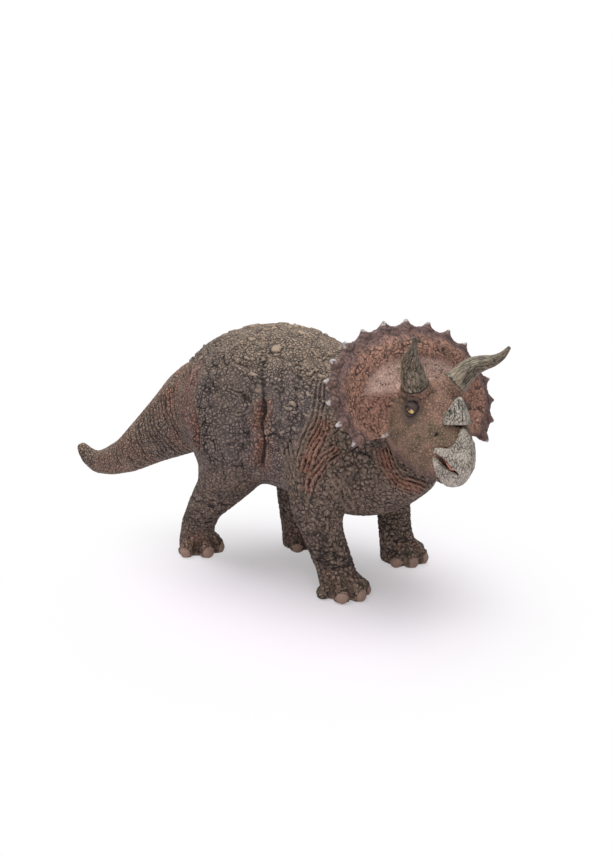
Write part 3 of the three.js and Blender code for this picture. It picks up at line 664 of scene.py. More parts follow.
def rim_loops(quads):
    """The open edges of a piece as closed loops of points, in the order in which its faces run."""
    edges = {(a, b) for quad in quads.tolist() for a, b in zip(quad, quad[1:] + quad[:1])}
    onward = {}
    for a, b in sorted(edges):
        if (b, a) not in edges:
            onward.setdefault(a, []).append(b)
    loops = []
    while onward:
        first = here = next(iter(onward))
        loop = []
        while here != first or not loop:
            loop.append(here)
            nexts = onward[here]
            there = nexts.pop()
            if not nexts:
                del onward[here]
            here = there
        loops.append(loop)
    return loops


def mesh_of(name, points, quads, fans=()):
    """A smooth-shaded mesh of quads and triangles, from points in millimetres."""
    mesh = bpy.data.meshes.new(name)
    quads, fans = np.asarray(quads).reshape(-1, 4), np.asarray(fans, np.int64).reshape(-1, 3)
    corners = np.concatenate([quads.ravel(), fans.ravel()])
    starts = np.concatenate([np.arange(len(quads)) * 4, quads.size + np.arange(len(fans)) * 3])
    mesh.vertices.add(len(points))
    mesh.vertices.foreach_set("co", (np.asarray(points) * MM).ravel())
    mesh.loops.add(len(corners))
    mesh.loops.foreach_set("vertex_index", corners)
    mesh.polygons.add(len(starts))
    mesh.polygons.foreach_set("loop_start", starts)
    mesh.update(calc_edges=True)
    mesh.validate()
    mesh.shade_smooth()
    return mesh


def part(piece, clay, names):
    """Cuts the clay along its seams into one closed piece for each node."""
    sides = read(piece.data.polygons, "material_index", 1, np.int32)
    corners = read(piece.data.polygons, "vertices", 4, np.int64)
    pieces = []
    for number, name in enumerate(names):
        used, quads = np.unique(corners[sides == number], return_inverse=True)
        quads = quads.reshape(-1, 4)
        points, outward = clay.at[used], clay.normal[used]
        fans, middles = [], []
        for loop in rim_loops(quads):
            middle = len(points) + len(middles)
            middles.append(points[loop].mean(0))
            fans += [(b, a, middle) for a, b in zip(loop, loop[1:] + loop[:1])]
        if middles:
            points = np.concatenate([points, middles])
            outward = np.concatenate([outward, np.tile([0, 0, 1.0], (len(middles), 1))])
        made = mesh_of(name, points, quads, fans)
        made.normals_split_custom_set_from_vertices(outward.tolist())
        for paint, values in clay.paint.items():
            if not paint.startswith("in_"):
                blank = np.zeros((len(middles), *values.shape[1:]))
                lay_paint(made, paint, np.concatenate([values[used], blank]))
        pieces.append(add_piece(name, made))
    bpy.data.objects.remove(piece)
    return pieces


def finish_piece(piece, material, slot, *nodes):
    piece.data.materials.clear()
    piece.data.materials.append(material)
    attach(piece, "root")
    if nodes:
        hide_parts(*nodes)


def mould(nodes, names, look, clay_settings, softness, shape):
    """Fuses the nodes, softens and shapes the clay, and parts it into finished pieces."""
    piece, label = fuse(nodes, *clay_settings)
    clay = Clay(piece)
    clay.soften(1.0, softness)
    clay.measure()
    share_out(piece, label)
    shape(clay)
    for made, node in zip(part(piece, clay, names), nodes):
        finish_piece(made, *look, node)


# Materials. Colours are written as they look; nodes work in linear light.

WHITE = (1, 1, 1)
FACE_SHADE = (0.45, 0.39, 0.31)
IRIS_FLECK = (0.95, 0.86, 0.55)
IRIS_RING = (0.42, 0.26, 0.19)
PUPIL = (0.10, 0.06, 0.05)
EYE_EDGE = (0.12, 0.10, 0.08)
MOUTH_SHADE = (0.30, 0.13, 0.12)


def linear(colour):
    return [c / 12.92 if c <= 0.04045 else ((c + 0.055) / 1.055) ** 2.4 for c in colour[:3]] + [1.0]


def shaded(colour, factor):
    """A colour made darker, or lighter up to white."""
    return [min(1.0, factor * c) for c in colour]


class Nodes:
    """A tree of nodes as it is built up."""

    def __init__(self, tree):
        self.nodes, self.links = tree.nodes, tree.links

    def plug(self, value, socket):
        """Feeds a socket from another node, or with a number or a colour."""
        if isinstance(value, bpy.types.NodeSocket):
            self.links.new(value, socket)
        else:
            socket.default_value = value if isinstance(value, (int, float)) else linear(value)

    def add(self, kind, inputs=(), **settings):
        node = self.nodes.new("ShaderNode" + kind)
        for key, value in settings.items():
            setattr(node, key, value)
        for key, value in dict(inputs).items():
            self.plug(value, node.inputs[key])
        return node

    def seen_directly(self):
        """1 for rays from the camera and for those that are mirrored or pass through, 0 for the light's own."""
        path = self.add("LightPath").outputs
        total = path["Is Camera Ray"]
        for name in ("Is Glossy Ray", "Is Transmission Ray"):
            total = self.add("Math", {0: total, 1: path[name]}, operation="MAXIMUM").outputs[0]
        return total

    def show(self, first, second, amount, out):
        """Shows the second shader instead of the first by an amount."""
        mix = self.add("MixShader", {"Fac": amount, 1: first.outputs[0], 2: second.outputs[0]})
        self.plug(mix.outputs[0], out.inputs["Surface"])


class Paint(Nodes):
    """A material's coats, laid one over the other."""

    def __init__(self, name):
        self.material = bpy.data.materials.new(name)
        self.material.use_nodes = True
        super().__init__(self.material.node_tree)
        self.shader = self.nodes["Principled BSDF"]
        self.place = self.add("TexCoord").outputs["Object"]

    def mask(self, name, strength=1.0):
        mask = self.add("Attribute", attribute_name=name).outputs["Fac"]
        return self.times(mask, strength) if strength < 1 else mask

    def noise(self, size, detail=3.0, output="Fac"):
        inputs = {"Vector": self.place, "Scale": 1 / (size * MM), "Detail": detail}
        return self.add("TexNoise", inputs).outputs[output]

    def edges(self, place, scale):
        """Distance to the edge of the nearest of uneven cells."""
        node = self.add("TexVoronoi", {"Vector": place, "Scale": scale}, feature="DISTANCE_TO_EDGE")
        return node.outputs["Distance"]

    def cells(self, size):
        """Cells of about the given size, their edges bent to and fro by a soft noise."""
        bent = self.add("VectorMath", operation="MULTIPLY_ADD")
        self.plug(self.noise(1.6 * size, 1.0, "Color"), bent.inputs[0])
        bent.inputs[1].default_value = (1.1 * size * MM,) * 3
        self.plug(self.place, bent.inputs[2])
        return self.edges(bent.outputs["Vector"], 1 / (size * MM))

    def grain_cells(self):
        """Cells that run with the piece's own grain."""
        return self.edges(self.add("Attribute", attribute_name="grain").outputs["Vector"], 1.0)

    def between(self, value, low, high, to_low=0.0, to_high=1.0):
        inputs = {"Value": value, "From Min": low, "From Max": high, "To Min": to_low, "To Max": to_high}
        return self.add("MapRange", inputs, interpolation_type="SMOOTHSTEP").outputs["Result"]

    def reckon(self, operation, result, *values):
        """Numbers put together one after another, kept from 0 to 1."""
        for value in values:
            result = self.add("Math", {0: result, 1: value}, operation=operation, use_clamp=True).outputs[0]
        return result

    def times(self, *values):
        return self.reckon("MULTIPLY", *values)

    def over(self, under, *coats):
        """Coats over a colour, each by its amount."""
        for colour, amount in coats:
            under = self.add("Mix", data_type="RGBA", inputs={"Factor": amount, 6: under, 7: colour}).outputs[2]
        return under

    def finish(self, colour, roughness, bumps=(), specular=0.25, coat=None):
        inputs = {"Base Color": colour, "Roughness": roughness, "Specular IOR Level": specular}
        for height, depth in bumps:
            node = self.add("Bump", {"Strength": 1.0, "Distance": depth * MM, "Height": height})
            if "Normal" in inputs:
                self.plug(inputs["Normal"], node.inputs["Normal"])
            inputs["Normal"] = node.outputs["Normal"]
        if coat:
            inputs["Coat Weight"], inputs["Coat Roughness"] = coat
        for key, value in inputs.items():
            self.plug(value, self.shader.inputs[key])
        return self.material


def tint(name, description, colour):
    return FloatVectorProperty(
        name=name, description=description, subtype="COLOR", size=3, min=0, max=1, default=colour
    )


def length(name, description, default):
    return FloatProperty(name=name, description=description, unit="LENGTH", default=default * MM, min=0)


class SkinSettings(bpy.types.PropertyGroup):
    grain: length("Grain", "Edge length of the clay before it is refined", 0.9)
    scale_size: length("Scale size", "Width of the scales on flanks, thighs and tail", 1.5)
    pebble_size: length("Pebble size", "Width of the coarse scales on chest and front legs", 2.1)
    scale_depth: length("Scale depth", "Depth of the grooves between the scales", 0.34)
    fold_depth: length("Fold depth", "Depth of a fold that is 1 deep in the table", 1.0)
    flesh: tint("Flesh", "Base coat of body and legs", (0.565, 0.485, 0.43))
    wash: tint("Wash", "Dark wash in the grooves", (0.115, 0.095, 0.095))
    drybrush: tint("Dry brush", "Highlight on the tops of the scales", (0.69, 0.61, 0.52))
    slate: tint("Slate", "Cool tint of flanks and thighs", (0.43, 0.395, 0.40))
    rust: tint("Rust", "Red-brown of the folds", (0.62, 0.39, 0.32))
    nail: tint("Nails", "Toenails", (0.60, 0.50, 0.445))


class HeadSettings(bpy.types.PropertyGroup):
    face: tint("Face", "Base coat of the face", (0.55, 0.45, 0.38))
    frill: tint("Frill", "Base coat of the frill's front", (0.69, 0.52, 0.45))
    frill_light: tint("Frill highlight", "Tops of the frill's scales", (0.79, 0.61, 0.51))
    dish: tint("Frill dish", "Paler hollow of the frill behind the brow horns", (0.92, 0.785, 0.725))
    rim: tint("Rim", "Purple-grey of the frill's rim", (0.38, 0.31, 0.315))
    spike: tint("Spikes", "Pale tips of the frill's spikes", (0.78, 0.76, 0.75))
    lid: tint("Eyelids", "Dark ring round the eye", (0.255, 0.21, 0.22))
    iris: tint("Iris", "Iris of the eyes", (0.80, 0.68, 0.38))


class HornSettings(bpy.types.PropertyGroup):
    horn: tint("Brow horns", "Base coat of the brow horns", (0.56, 0.51, 0.43))
    horn_wash: tint("Horn wash", "Dark wash in the horns' grain", (0.16, 0.135, 0.10))
    horn_light: tint("Horn highlight", "Dry brush on the horns", (0.74, 0.69, 0.61))
    beak: tint("Beak", "Base coat of beak and nose horn", (0.75, 0.715, 0.66))
    beak_wash: tint("Beak wash", "Dark wash in the beak's cracks", (0.15, 0.14, 0.11))
    tongue: tint("Tongue", "Satin pink of the tongue", (0.78, 0.52, 0.46))


class StageSettings(bpy.types.PropertyGroup):
    floor: tint("Floor", "Pale studio floor", (0.97, 0.93, 0.97))


class FigureSettings(bpy.types.PropertyGroup):
    skin: PointerProperty(type=SkinSettings)
    head: PointerProperty(type=HeadSettings)
    horns: PointerProperty(type=HornSettings)
    stage: PointerProperty(type=StageSettings)


# Skin.

SEAM_REACH = 12.0
SEAM_ROUNDS = 14
FOLD_STEP = 1.5
# How far behind and ahead of a fold a stepped one is pressed down and raised.
STEP_REACH = (12, 7)
FEET_TOP = 16
# How far an eye's lids and wrinkles reach, and how deep its ball lies in their opening.
EYE_FIELD = 9.5
EYE_SINK = 0.6


def seam_distance(clay, label):
    """Each point's rough distance from the nearest seam between pieces, up to the reach."""
    a, b = clay.edges.T
    distance = np.full(len(label), SEAM_REACH)
    distance[clay.edges[label[a] != label[b]].ravel()] = 0
    step = norms(clay.at[a] - clay.at[b])
    for _ in range(SEAM_ROUNDS):
        np.minimum.at(distance, a, distance[b] + step)
        np.minimum.at(distance, b, distance[a] + step)
    return distance


def shape_skin(clay, label):
    """Rounds the clay, softly over the joints, and hollows the frill's dish."""
    torso, tail, head = label < len(TORSO_NODES), label == TAIL, label == HEAD
    leg = ~(torso | tail | head)
    low = smooth(22, 12, clay.at[:, 2])
    joint = bump(seam_distance(clay, label), 9.0) * np.where(head, 0.5, 1.0) * (1 - low)
    weight = np.select([torso, tail, leg], [1.0, 0.9, 0.75 * (1 - 0.9 * low)], 0.0)
    clay.soften(clay.spread(weight, rounds=6), rounds=26)
    clay.soften(joint, rounds=26)
    clay.soften(np.where(head | leg, 0.35, 0.2), rounds=4)
    for number, node in enumerate(SKIN_NODES):
        clay.paint["in_" + node] = clay.spread((label == number).astype(float), rounds=20)
    clay.measure()
    tight = clay.spread(smooth(0.35, 1.0, clay.sunk(rounds=12)) * (clay.at[:, 2] > 30), rounds=4)
    clay.soften(np.minimum(1.3 * tight, 1), rounds=40)
    clay.measure()

    p = Places(clay)
    scallops = 0.4 * np.cos(p.turn / SPIKE_STEP * 2 * np.pi) - 0.1
    edge = p.frill * smooth(4.0, 1.0, p.from_rim) * scallops
    clay.at += (edge[:, None] * columns(0 * p.turn, np.sin(p.turn), np.cos(p.turn))) @ HEAD_AXES.T
    hollow = 0.9 * bump(np.abs(p.from_rim - 5.5), 3.5) - 1.2 * smooth(8, 14, p.from_rim)
    clay.at += (p.frill * p.facing * hollow)[:, None] * HEAD_AXES[:, 0]
    clay.measure()


def carve_folds(clay, depth):
    """Presses the folds in, raises their shoulders, and paints wash and red-brown into them."""
    tree = KDTree(len(clay.at))
    for number, point in enumerate(clay.at):
        tree.insert(point, number)
    tree.balance()
    uneven = smooth(-0.6, 0.4, clouds(clay.at, size=2.2, seed=57))
    height = np.zeros(len(clay.at))
    for wide, deep, step, red, spread, pleats, apart, points in FOLDS:
        for path, gentle in ((points, 1.0), (mirrored(points), MIRRORED_STEP if step else 1.0)):
            snapped = [tree.find(point)[1] for point in curve(path, FOLD_STEP)]
            path, outward = clay.at[snapped], clay.normal[snapped]
            reach = max(4 * wide, abs(spread), STEP_REACH[0] if step else 0, pleats * apart)
            boxed = np.all((clay.at > path.min(0) - reach) & (clay.at < path.max(0) + reach), axis=1)
            near = np.where(boxed)[0]
            at = clay.at[near]
            away, along, nearest = path_distance(at, path)
            ends = window(along, 0, 0.1, 0.88, 1)
            rear = smooth(0.4, -0.8, (at - nearest)[:, 0])
            if pleats > 1:
                starts = path_starts(path)
                across = np.cross(np.gradient(path, axis=0), outward)
                across /= norms(across)[:, None]
                across = columns(*(np.interp(along, starts / starts[-1], column) for column in across.T))
                shift = ((at - nearest) * across).sum(1) + 0.3 * apart * clouds(at, size=6, seed=59, octaves=1)
                shift = shift / (apart * (0.8 + 0.4 * along)) + 0.5 * (pleats % 2 == 0)
                wave = 0.5 + 0.5 * np.cos(2 * np.pi * shift)
                inside = smooth(pleats / 2 + 0.4, pleats / 2 - 0.3, away / apart) * ends
                inside = inside * (0.7 + 0.3 * uneven[near])
                groove, shoulder = wave**3 * inside, (1 - wave) ** 2 * inside
                clay.daub("ridge", shoulder, near)
            else:
                groove = bell(away, wide) * ends
                shoulder = 0.7 * bell(away - 2.2 * wide, wide) * ends
            behind, before = (bump(away, far) for far in STEP_REACH)
            lift = step * ends * np.where(rear > 0.5, -0.65 * behind, 0.35 * before) * np.abs(2 * rear - 1)
            height[near] += depth * gentle * (deep * (0.42 * shoulder - groove) + lift)
            clay.daub("wash", 0.9 * gentle * min(1.0, deep) * groove**2.5, near)
            stain = red * (rear if spread < 0 else 1.0) * bump(away, max(abs(spread), 0.1)) * ends
            clay.daub("rust", stain * (0.55 + 0.45 * uneven[near]), near)
    clay.push(np.clip(height, -3.0 * depth, 1.2 * depth) * (1 - smooth(0.9, 1.8, clay.sunk(rounds=26))))
    clay.measure()


def sculpt_feet(clay):
    """Rounds each toe into a ridge from the ankle to its nail and flattens the nail's front."""
    low = np.where(clay.at[:, 2] < FEET_TOP)[0]
    at = clay.at[low]
    push, back = np.zeros(len(low)), np.zeros((len(low), 3))
    for middle, toes in feet():
        for way, out, _, size in toes:
            ridge = [middle + 0.4 * out + (0, 0, 9.5), middle + out + 0.7 * way + (0, 0, 3.3 * size)]
            away, along, _ = path_distance(at, ridge)
            push = np.maximum(push, np.clip((3.0 + 0.9 * along) * size - away, 0, 1.5))
            offset = at - middle - out
            ahead = offset @ way
            aside = norms(offset * (1, 1, 0) - ahead[:, None] * way)
            flat = 0.3 * np.clip(ahead / size - 3.6, 0, 3) * (aside < 4.4 * size)
            back -= flat[:, None] * way * size
    clay.at[low] += push[:, None] * clay.normal[low] + back
    clay.soften(smooth(15, 12, clay.at[:, 2]) * 0.7, rounds=4)
    clay.at[:, 2] = np.maximum(clay.at[:, 2], 0)
    clay.measure()


def sculpt_eye(clay, side):
    """Opens the lids over the eyeball and lays rings of wrinkles round it."""
    flip = np.array([1, -side, 1])
    eye, gaze = EYE * flip, unit(EYE_GAZE * flip)
    level = unit(np.cross(gaze, [0, 0, 1.0]))
    offset = to_head(clay.at) - eye
    near = np.where((norms(offset) < EYE_FIELD) & (offset @ gaze > -2))[0]
    offset = offset[near]
    reach, u, v = norms(offset), offset @ level, offset @ np.cross(level, gaze)
    ring = np.hypot(u / 0.92, v / 1.12)
    slant = v + 0.12 + LID_SLANT * side * u
    opening = np.hypot(u / LID_OPENING[0], slant / (LID_OPENING[1] - 0.1 * np.clip(v, 0, 1)))
    lid = np.maximum(smooth(3.0, 1.5, opening), smooth(EYE_RADIUS + 1.5, EYE_RADIUS + 0.2, ring))
    brim = EYE_RADIUS + LID_BRIM + 0.3 * smooth(0.2, 1.2, v)
    closed = np.maximum(reach, brim * lid + reach * (1 - lid))
    wanted = np.where(opening > 1, closed, EYE_RADIUS - EYE_SINK)
    wobble = 0.5 * clouds(clay.at[near], size=2.2, seed=23)
    strength = 0.6 + 0.4 * smooth(-3, 2, v)
    bent = ring + wobble * 0.6
    fold = sum(-deep * bell(bent - radius, LID_RING_WIDTH) * strength for radius, deep in LID_RINGS)
    fold = fold + 0.25 * bell(ring - 3.9, 0.5)
    clay.at[near] = from_head((wanted / reach)[:, None] * offset + fold[:, None] * gaze + eye)
    clay.daub("lid", smooth(6.1, 3.9, ring + wobble) * (0.75 + 0.25 * smooth(3.2, 2.2, ring)), near)
    clay.daub("wash", np.where(opening < 1.35, 1.0, np.clip(-fold * 3.2, 0, 0.95)), near)
    clay.daub("plain", smooth(5.6, 4.0, ring), near)


def sculpt_face(clay):
    """Eyes, nostrils and the collars round the brow horns."""
    for side in (-1, 1):
        sculpt_eye(clay, side)
    head = to_head(clay.at)
    push = np.zeros(len(clay.at))
    for side in (-1, 1):
        away = norms((head - NOSTRIL * (1, -side, 1)) @ NOSTRIL_SLANT * (1.15, 1, 0.85))
        push += 0.25 * bump(np.abs(away - 1.9), 0.9) - bump(away, 1.35)
        clay.daub("wash", smooth(1.35, 0.85, away))
    wobble = clouds(clay.at, size=3.0, seed=29)
    for tip in HORN_TIP.values():
        _, root, neck = np.array(HORN_ROWS)[:3, :3] * tip
        way = unit(neck - root)
        along = (head - root) @ way
        out = norms(head - root - along[:, None] * way)
        ringed = smooth(9.5, 7.0, out) * window(along, -7.5, -5.5, 1.5, 3)
        wave = np.cos((along + 0.7 * wobble) * 2 * np.pi / 2.3)
        push += ringed * 0.22 * wave
        clay.daub("wash", ringed * 0.4 * smooth(0.4, 1, -wave))
        clay.daub("wash", smooth(5.8, 5.3, out) * window(along, -1.1, -0.4, 1.5, 3))
    clay.push(push)
    clay.measure()


def open_mouth(clay):
    """Draws the skin back from the slit between the beak halves, so that the tongue shows."""
    head = to_head(clay.at)
    x, y, z = head.T
    slit = smooth(2.6, 1.8, np.abs(z - MOUTH_PLACE[1] - MOUTH_SLOPE * (x - MOUTH_PLACE[0])))
    slit = slit * smooth(MOUTH_CORNER, MOUTH_CORNER + 0.7, x) * (np.abs(y) < 12)
    head[:, 0] = x - slit * np.clip(x - MOUTH_CORNER, 0, None)
    clay.at = np.where(slit[:, None] > 0, from_head(head), clay.at)
    # Painted shade: the slit between the beak halves is darkened
    clay.daub("wash", 0.5 * slit)
    clay.measure()


def relief(clay, settings):
    """The skin's scales, wrinkles and tubercles, and the paint that lies in and on them."""
    at, p, grain = clay.at, Places(clay), Grain(len(clay.at))
    x, y, z = at.T
    fine, coarse, depth = settings.scale_size / MM, settings.pebble_size / MM, settings.scale_depth / MM
    warp = warps(at, size=4.5, seed=31)
    bent = at + 0.8 * warp
    ridge, plain = clay.paint.pop("ridge"), clay.paint.pop("plain")

    def patches(low, high, size, seed):
        return smooth(low, high, clouds(at, size, seed))

    # Body and thighs. Around runs round the barrel, upright over the thighs' sides.
    chest = np.clip(p.front + p.torso * smooth(38, 50, x) * smooth(98, 84, z) + p.neck, 0, 1)
    scaled = np.clip(p.body - chest, 0, 1)
    squat = bent * (1.0, 1.0, 0.85)
    grain.lay_cells(
        scaled, squat, size=1.2 * fine, depth=0.6 * depth, seed=3, width=0.22, gaps=0.25, crown=0.07, stain=0.5
    )
    grain.lay_cells(chest, bent, size=coarse, depth=1.1 * depth, seed=5, width=0.2, gaps=0.6, crown=0.14, stain=0.45)
    flank = p.torso * window(x, -30, -10, 40, 50)
    back = p.torso * smooth(80, 92, z)
    around = columns(x + 1.5 * warp[:, 0], p.girth + 1.5 * warp[:, 1], 0 * x)
    plated = np.clip(back + 0.9 * p.torso * smooth(20, 34, x) * smooth(66, 78, z), 0, 1)
    grain.lay_plates(plated, around * (0.75, 1.3, 1), size=3.0, lift=0.6, seed=13, share_of_cells=0.36)
    grain.lay_plates(
        0.9 * flank * (1 - back), around * (0.9, 1.2, 1), size=3.0, lift=0.4, seed=17, share_of_cells=0.1
    )
    grain.lay_lines(0.9 * p.torso * (1 - back), around / (5.5, 19, 1), depth=0.6, seed=41, width=0.12, breaks=-0.1)
    grain.lay_lines(0.8 * back, around / (10, 4.2, 1), depth=0.45, seed=43, width=0.12, breaks=0.15)
    thigh = p.hind * smooth(40, 55, z)
    upright = columns(x + warp[:, 0], z + warp[:, 2], 0 * x)
    grain.lay_lines(thigh, upright / (3.6, 8.5, 1), depth=0.6, seed=47, width=0.14, breaks=0.2)
    grain.lay_lines(0.9 * thigh, upright / (9, 9, 1), depth=0.6, seed=48, width=0.06, breaks=0.2)

    # Rings round the tail, the ankles and the lower legs.
    _, along, middle = path_distance(at, TAIL_LINE)
    run = along * path_starts(TAIL_LINE)[-1]
    spin = np.arctan2(middle[:, 1] - y, z - middle[:, 2])
    rings = p.tail * smooth(85, 50, run) * smooth(0.2, 0.9, np.abs(spin))
    turns = (run + 0.8 * warp[:, 0]) / 2.7 - 0.7 * np.abs(spin)
    grain.lay_bands(0.85 * rings, turns, 1.6 * spin, depth=0.5, seed=53)
    ankle = np.clip(p.hind * window(z, 11, 15, 30, 40) + p.front * window(z, 11, 14, 20, 27), 0, 1)
    turns = (z + 1.6 * warp[:, 0] + 0.15 * x) / 2.9
    grain.lay_bands(0.8 * ankle * (1 - p.nail), turns, (x + y) / 3.5, depth=0.65, seed=57)
    shin = np.clip(p.front + p.hind, 0, 1) * smooth(46, 36, z)
    level = columns(x, y, z + 0.9 * warp[:, 2])
    grain.lay_lines(0.8 * shin * smooth(30, 22, z), level / (8, 8, 2.1), depth=0.35, seed=61, width=0.2, breaks=0.1)
    grain.lay_lines(0.6 * shin, level / (9, 9, 3.6), depth=0.35, seed=63, width=0.12)

    # Frill and face. Radial runs out to the rim and round it.
    radial = columns(p.share * p.radius + warp[:, 0], p.turn * 30 + 0.6 * warp[:, 1], 0 * x)
    _, sideways, up = p.in_head.T
    dish = p.frill * p.facing * smooth(8, 13, p.from_rim) * smooth(-6, -2, up + 0.12 * np.abs(sideways))
    dish = dish * smooth(0.72, 0.55, p.share)
    outer = np.clip(p.frill - dish, 0, 1)
    scaly = np.clip(outer - p.rim, 0, 1) * p.facing
    wrinkled = np.clip(p.face * smooth(-14, -4, up) + 0.7 * p.face * smooth(-26, -32, up), 0, 1)
    grain.lay_cells(
        outer, radial / (1, 1.7, 1), size=1.2, depth=0.28, seed=73, width=0.24, gaps=0.6, crown=0.12, stain=0.4
    )
    grain.lay_plates(scaly, radial / (1, 1.8, 1), size=1.8, lift=0.3, seed=75, share_of_cells=0.12)
    grain.lay_lines(0.8 * scaly, radial / (2.2, 11, 1), depth=0.35, seed=76, width=0.16, breaks=0.1)
    grain.lay_cells(0.8 * dish, bent, size=1.5, depth=0.22, seed=77, width=0.22, gaps=0.15)
    grain.lay_cells(0.8 * p.face, bent, size=1.1, depth=0.12, seed=79, width=0.26, gaps=0.1, crown=0.03, stain=0.3)
    grain.lay_lines(0.7 * wrinkled, level / (4.5, 4.5, 2.2), depth=0.24, seed=81, width=0.14, breaks=0.1)

    # Spikes, nails and soles stay smooth.
    tips = np.concatenate([from_head(frill_point(SPIKE_TURNS, 1.0, SPIKE_REACH)), CHEEK_SPIKES])
    bases = from_head(frill_point(SPIKE_TURNS, 1.0, -0.6))
    tip, foot = (np.min([norms(at - spot) for spot in spots], axis=0) for spots in (tips, bases))
    for smoothed in (smooth(3.0, 2.0, tip), p.nail, 0.6 * ridge, 0.4 * plain):
        grain.calm(smoothed)
    edge = bump(np.abs(p.nail - 0.5), 0.5) * (z > 1.2)
    grain.height += 0.45 * p.cuff - 0.2 * p.nail - 0.3 * edge - 1.1 * p.cleft
    # Painted shade: the clefts between the toes are painted dark; the nails' edges get a dark wash
    grain.groove = np.maximum(grain.groove, np.maximum(0.7 * edge, 0.55 * p.cleft))
    grain.calm(smooth(1.2, 0.3, z))
    sunk = clay.spread(clay.sunk(rounds=26), rounds=2)
    clay.push(grain.height * smooth(1.3, 0.6, sunk))
    at[:, 2] = np.maximum(at[:, 2], 0)

    rough = np.clip(chest + 0.85 * p.hind * smooth(60, 46, z), 0, 1)
    lined = scaled * (1 - 0.6 * rough) + 0.25 * chest + 0.65 * p.face + 0.25 * p.frill + 0.3 * dish
    lined = lined * (1 - p.nail) * (1 - 0.7 * plain) * (1 - 0.75 * grain.plates)
    cool = p.torso * smooth(100, 86, z) * window(x, -38, -20, 40, 54) + 0.9 * thigh * smooth(98, 86, z)
    seat = np.clip(p.torso + p.hind, 0, 1) * smooth(-12, -20, x) * window(z, 56, 66, 86, 96)
    aside = np.abs(y - MIDDLE)
    hip = bump(norms((at - HIP) * (0.55, 0, 1.0)), 13.0) * (aside > 15)
    around_spikes = bump(np.abs(foot - 3.0), 1.1) * p.frill * p.facing * (1 - smooth(2.6, 1.6, tip))
    for name, amount in (
        ("wash", 0.9 * grain.groove),
        # Dark wash pooled in the body's deep hollows, also painted shade there
        ("wash", 0.75 * smooth(0.25, 0.9, sunk) * p.body),
        ("wash", 0.55 * around_spikes),
        ("tops", grain.tops + 0.4 * smooth(0.04, 0.28, -sunk)),
        ("tops", 0.3 * p.tail),
        ("tops", 0.6 * ridge),
        # Painted highlight: the top of the back, from the hips forward, is dry-brushed lighter as if lit from above
        ("tops", 0.6 * p.torso * smooth(86, 97, z) * smooth(-40, -16, x)),
        ("tone", grain.tone),
        ("nail", p.nail),
        ("face", p.face),
        ("frill", p.frill * (0.25 + 0.75 * p.facing)),
        ("dish", dish),
        ("rim", p.rim),
        ("spike", smooth(2.2, 1.1, tip + 0.9 * clouds(at, size=0.9, seed=83, octaves=1)) * smooth(0, 0.3, p.frill)),
        ("coarse", 0.9 * rough * (1 - p.nail) * (1 - 0.8 * ridge) * (1 - 0.8 * p.cleft)),
        ("ringed", scaly + 0.6 * p.rim * p.facing),
        ("plate", grain.plates * p.torso),
        ("fine", lined * (1 - 0.6 * ridge) * (1 - 0.6 * rings * smooth(45, 95, run))),
        ("slate", cool * (0.6 + 0.4 * patches(-0.6, 0.5, 16, 85))),
        # Painted shade: the dark masks darken the flesh round the hips, at the rear of the body, on the chest, neck
        # and front legs, and on the hind legs above the ankles
        ("dark", hip * p.body),
        ("dark", 0.35 * p.torso * smooth(-8, -30, x) * smooth(104, 92, z)),
        ("dark", chest * (0.6 + 0.4 * patches(-0.5, 0.5, 9, 93)) * (0.05 + 0.95 * smooth(28, 48, z))),
        ("dark", 0.8 * p.hind * smooth(56, 44, z) * smooth(20, 34, z)),
        ("rust", 0.35 * p.toes * patches(-0.5, 0.6, 6, 87)),
        ("rust", 0.3 * p.tail * patches(-0.3, 0.7, 13, 89)),
        ("rust", 0.55 * seat * smooth(16, 22, aside)),
        ("rust", 0.7 * p.tail * smooth(24, 6, run) * patches(-0.6, 0.5, 5, 91)),
    ):
        clay.daub(name, amount)
    clay.paint["grain"] = radial / (1.15, 2.5, 1)
    clay.measure()


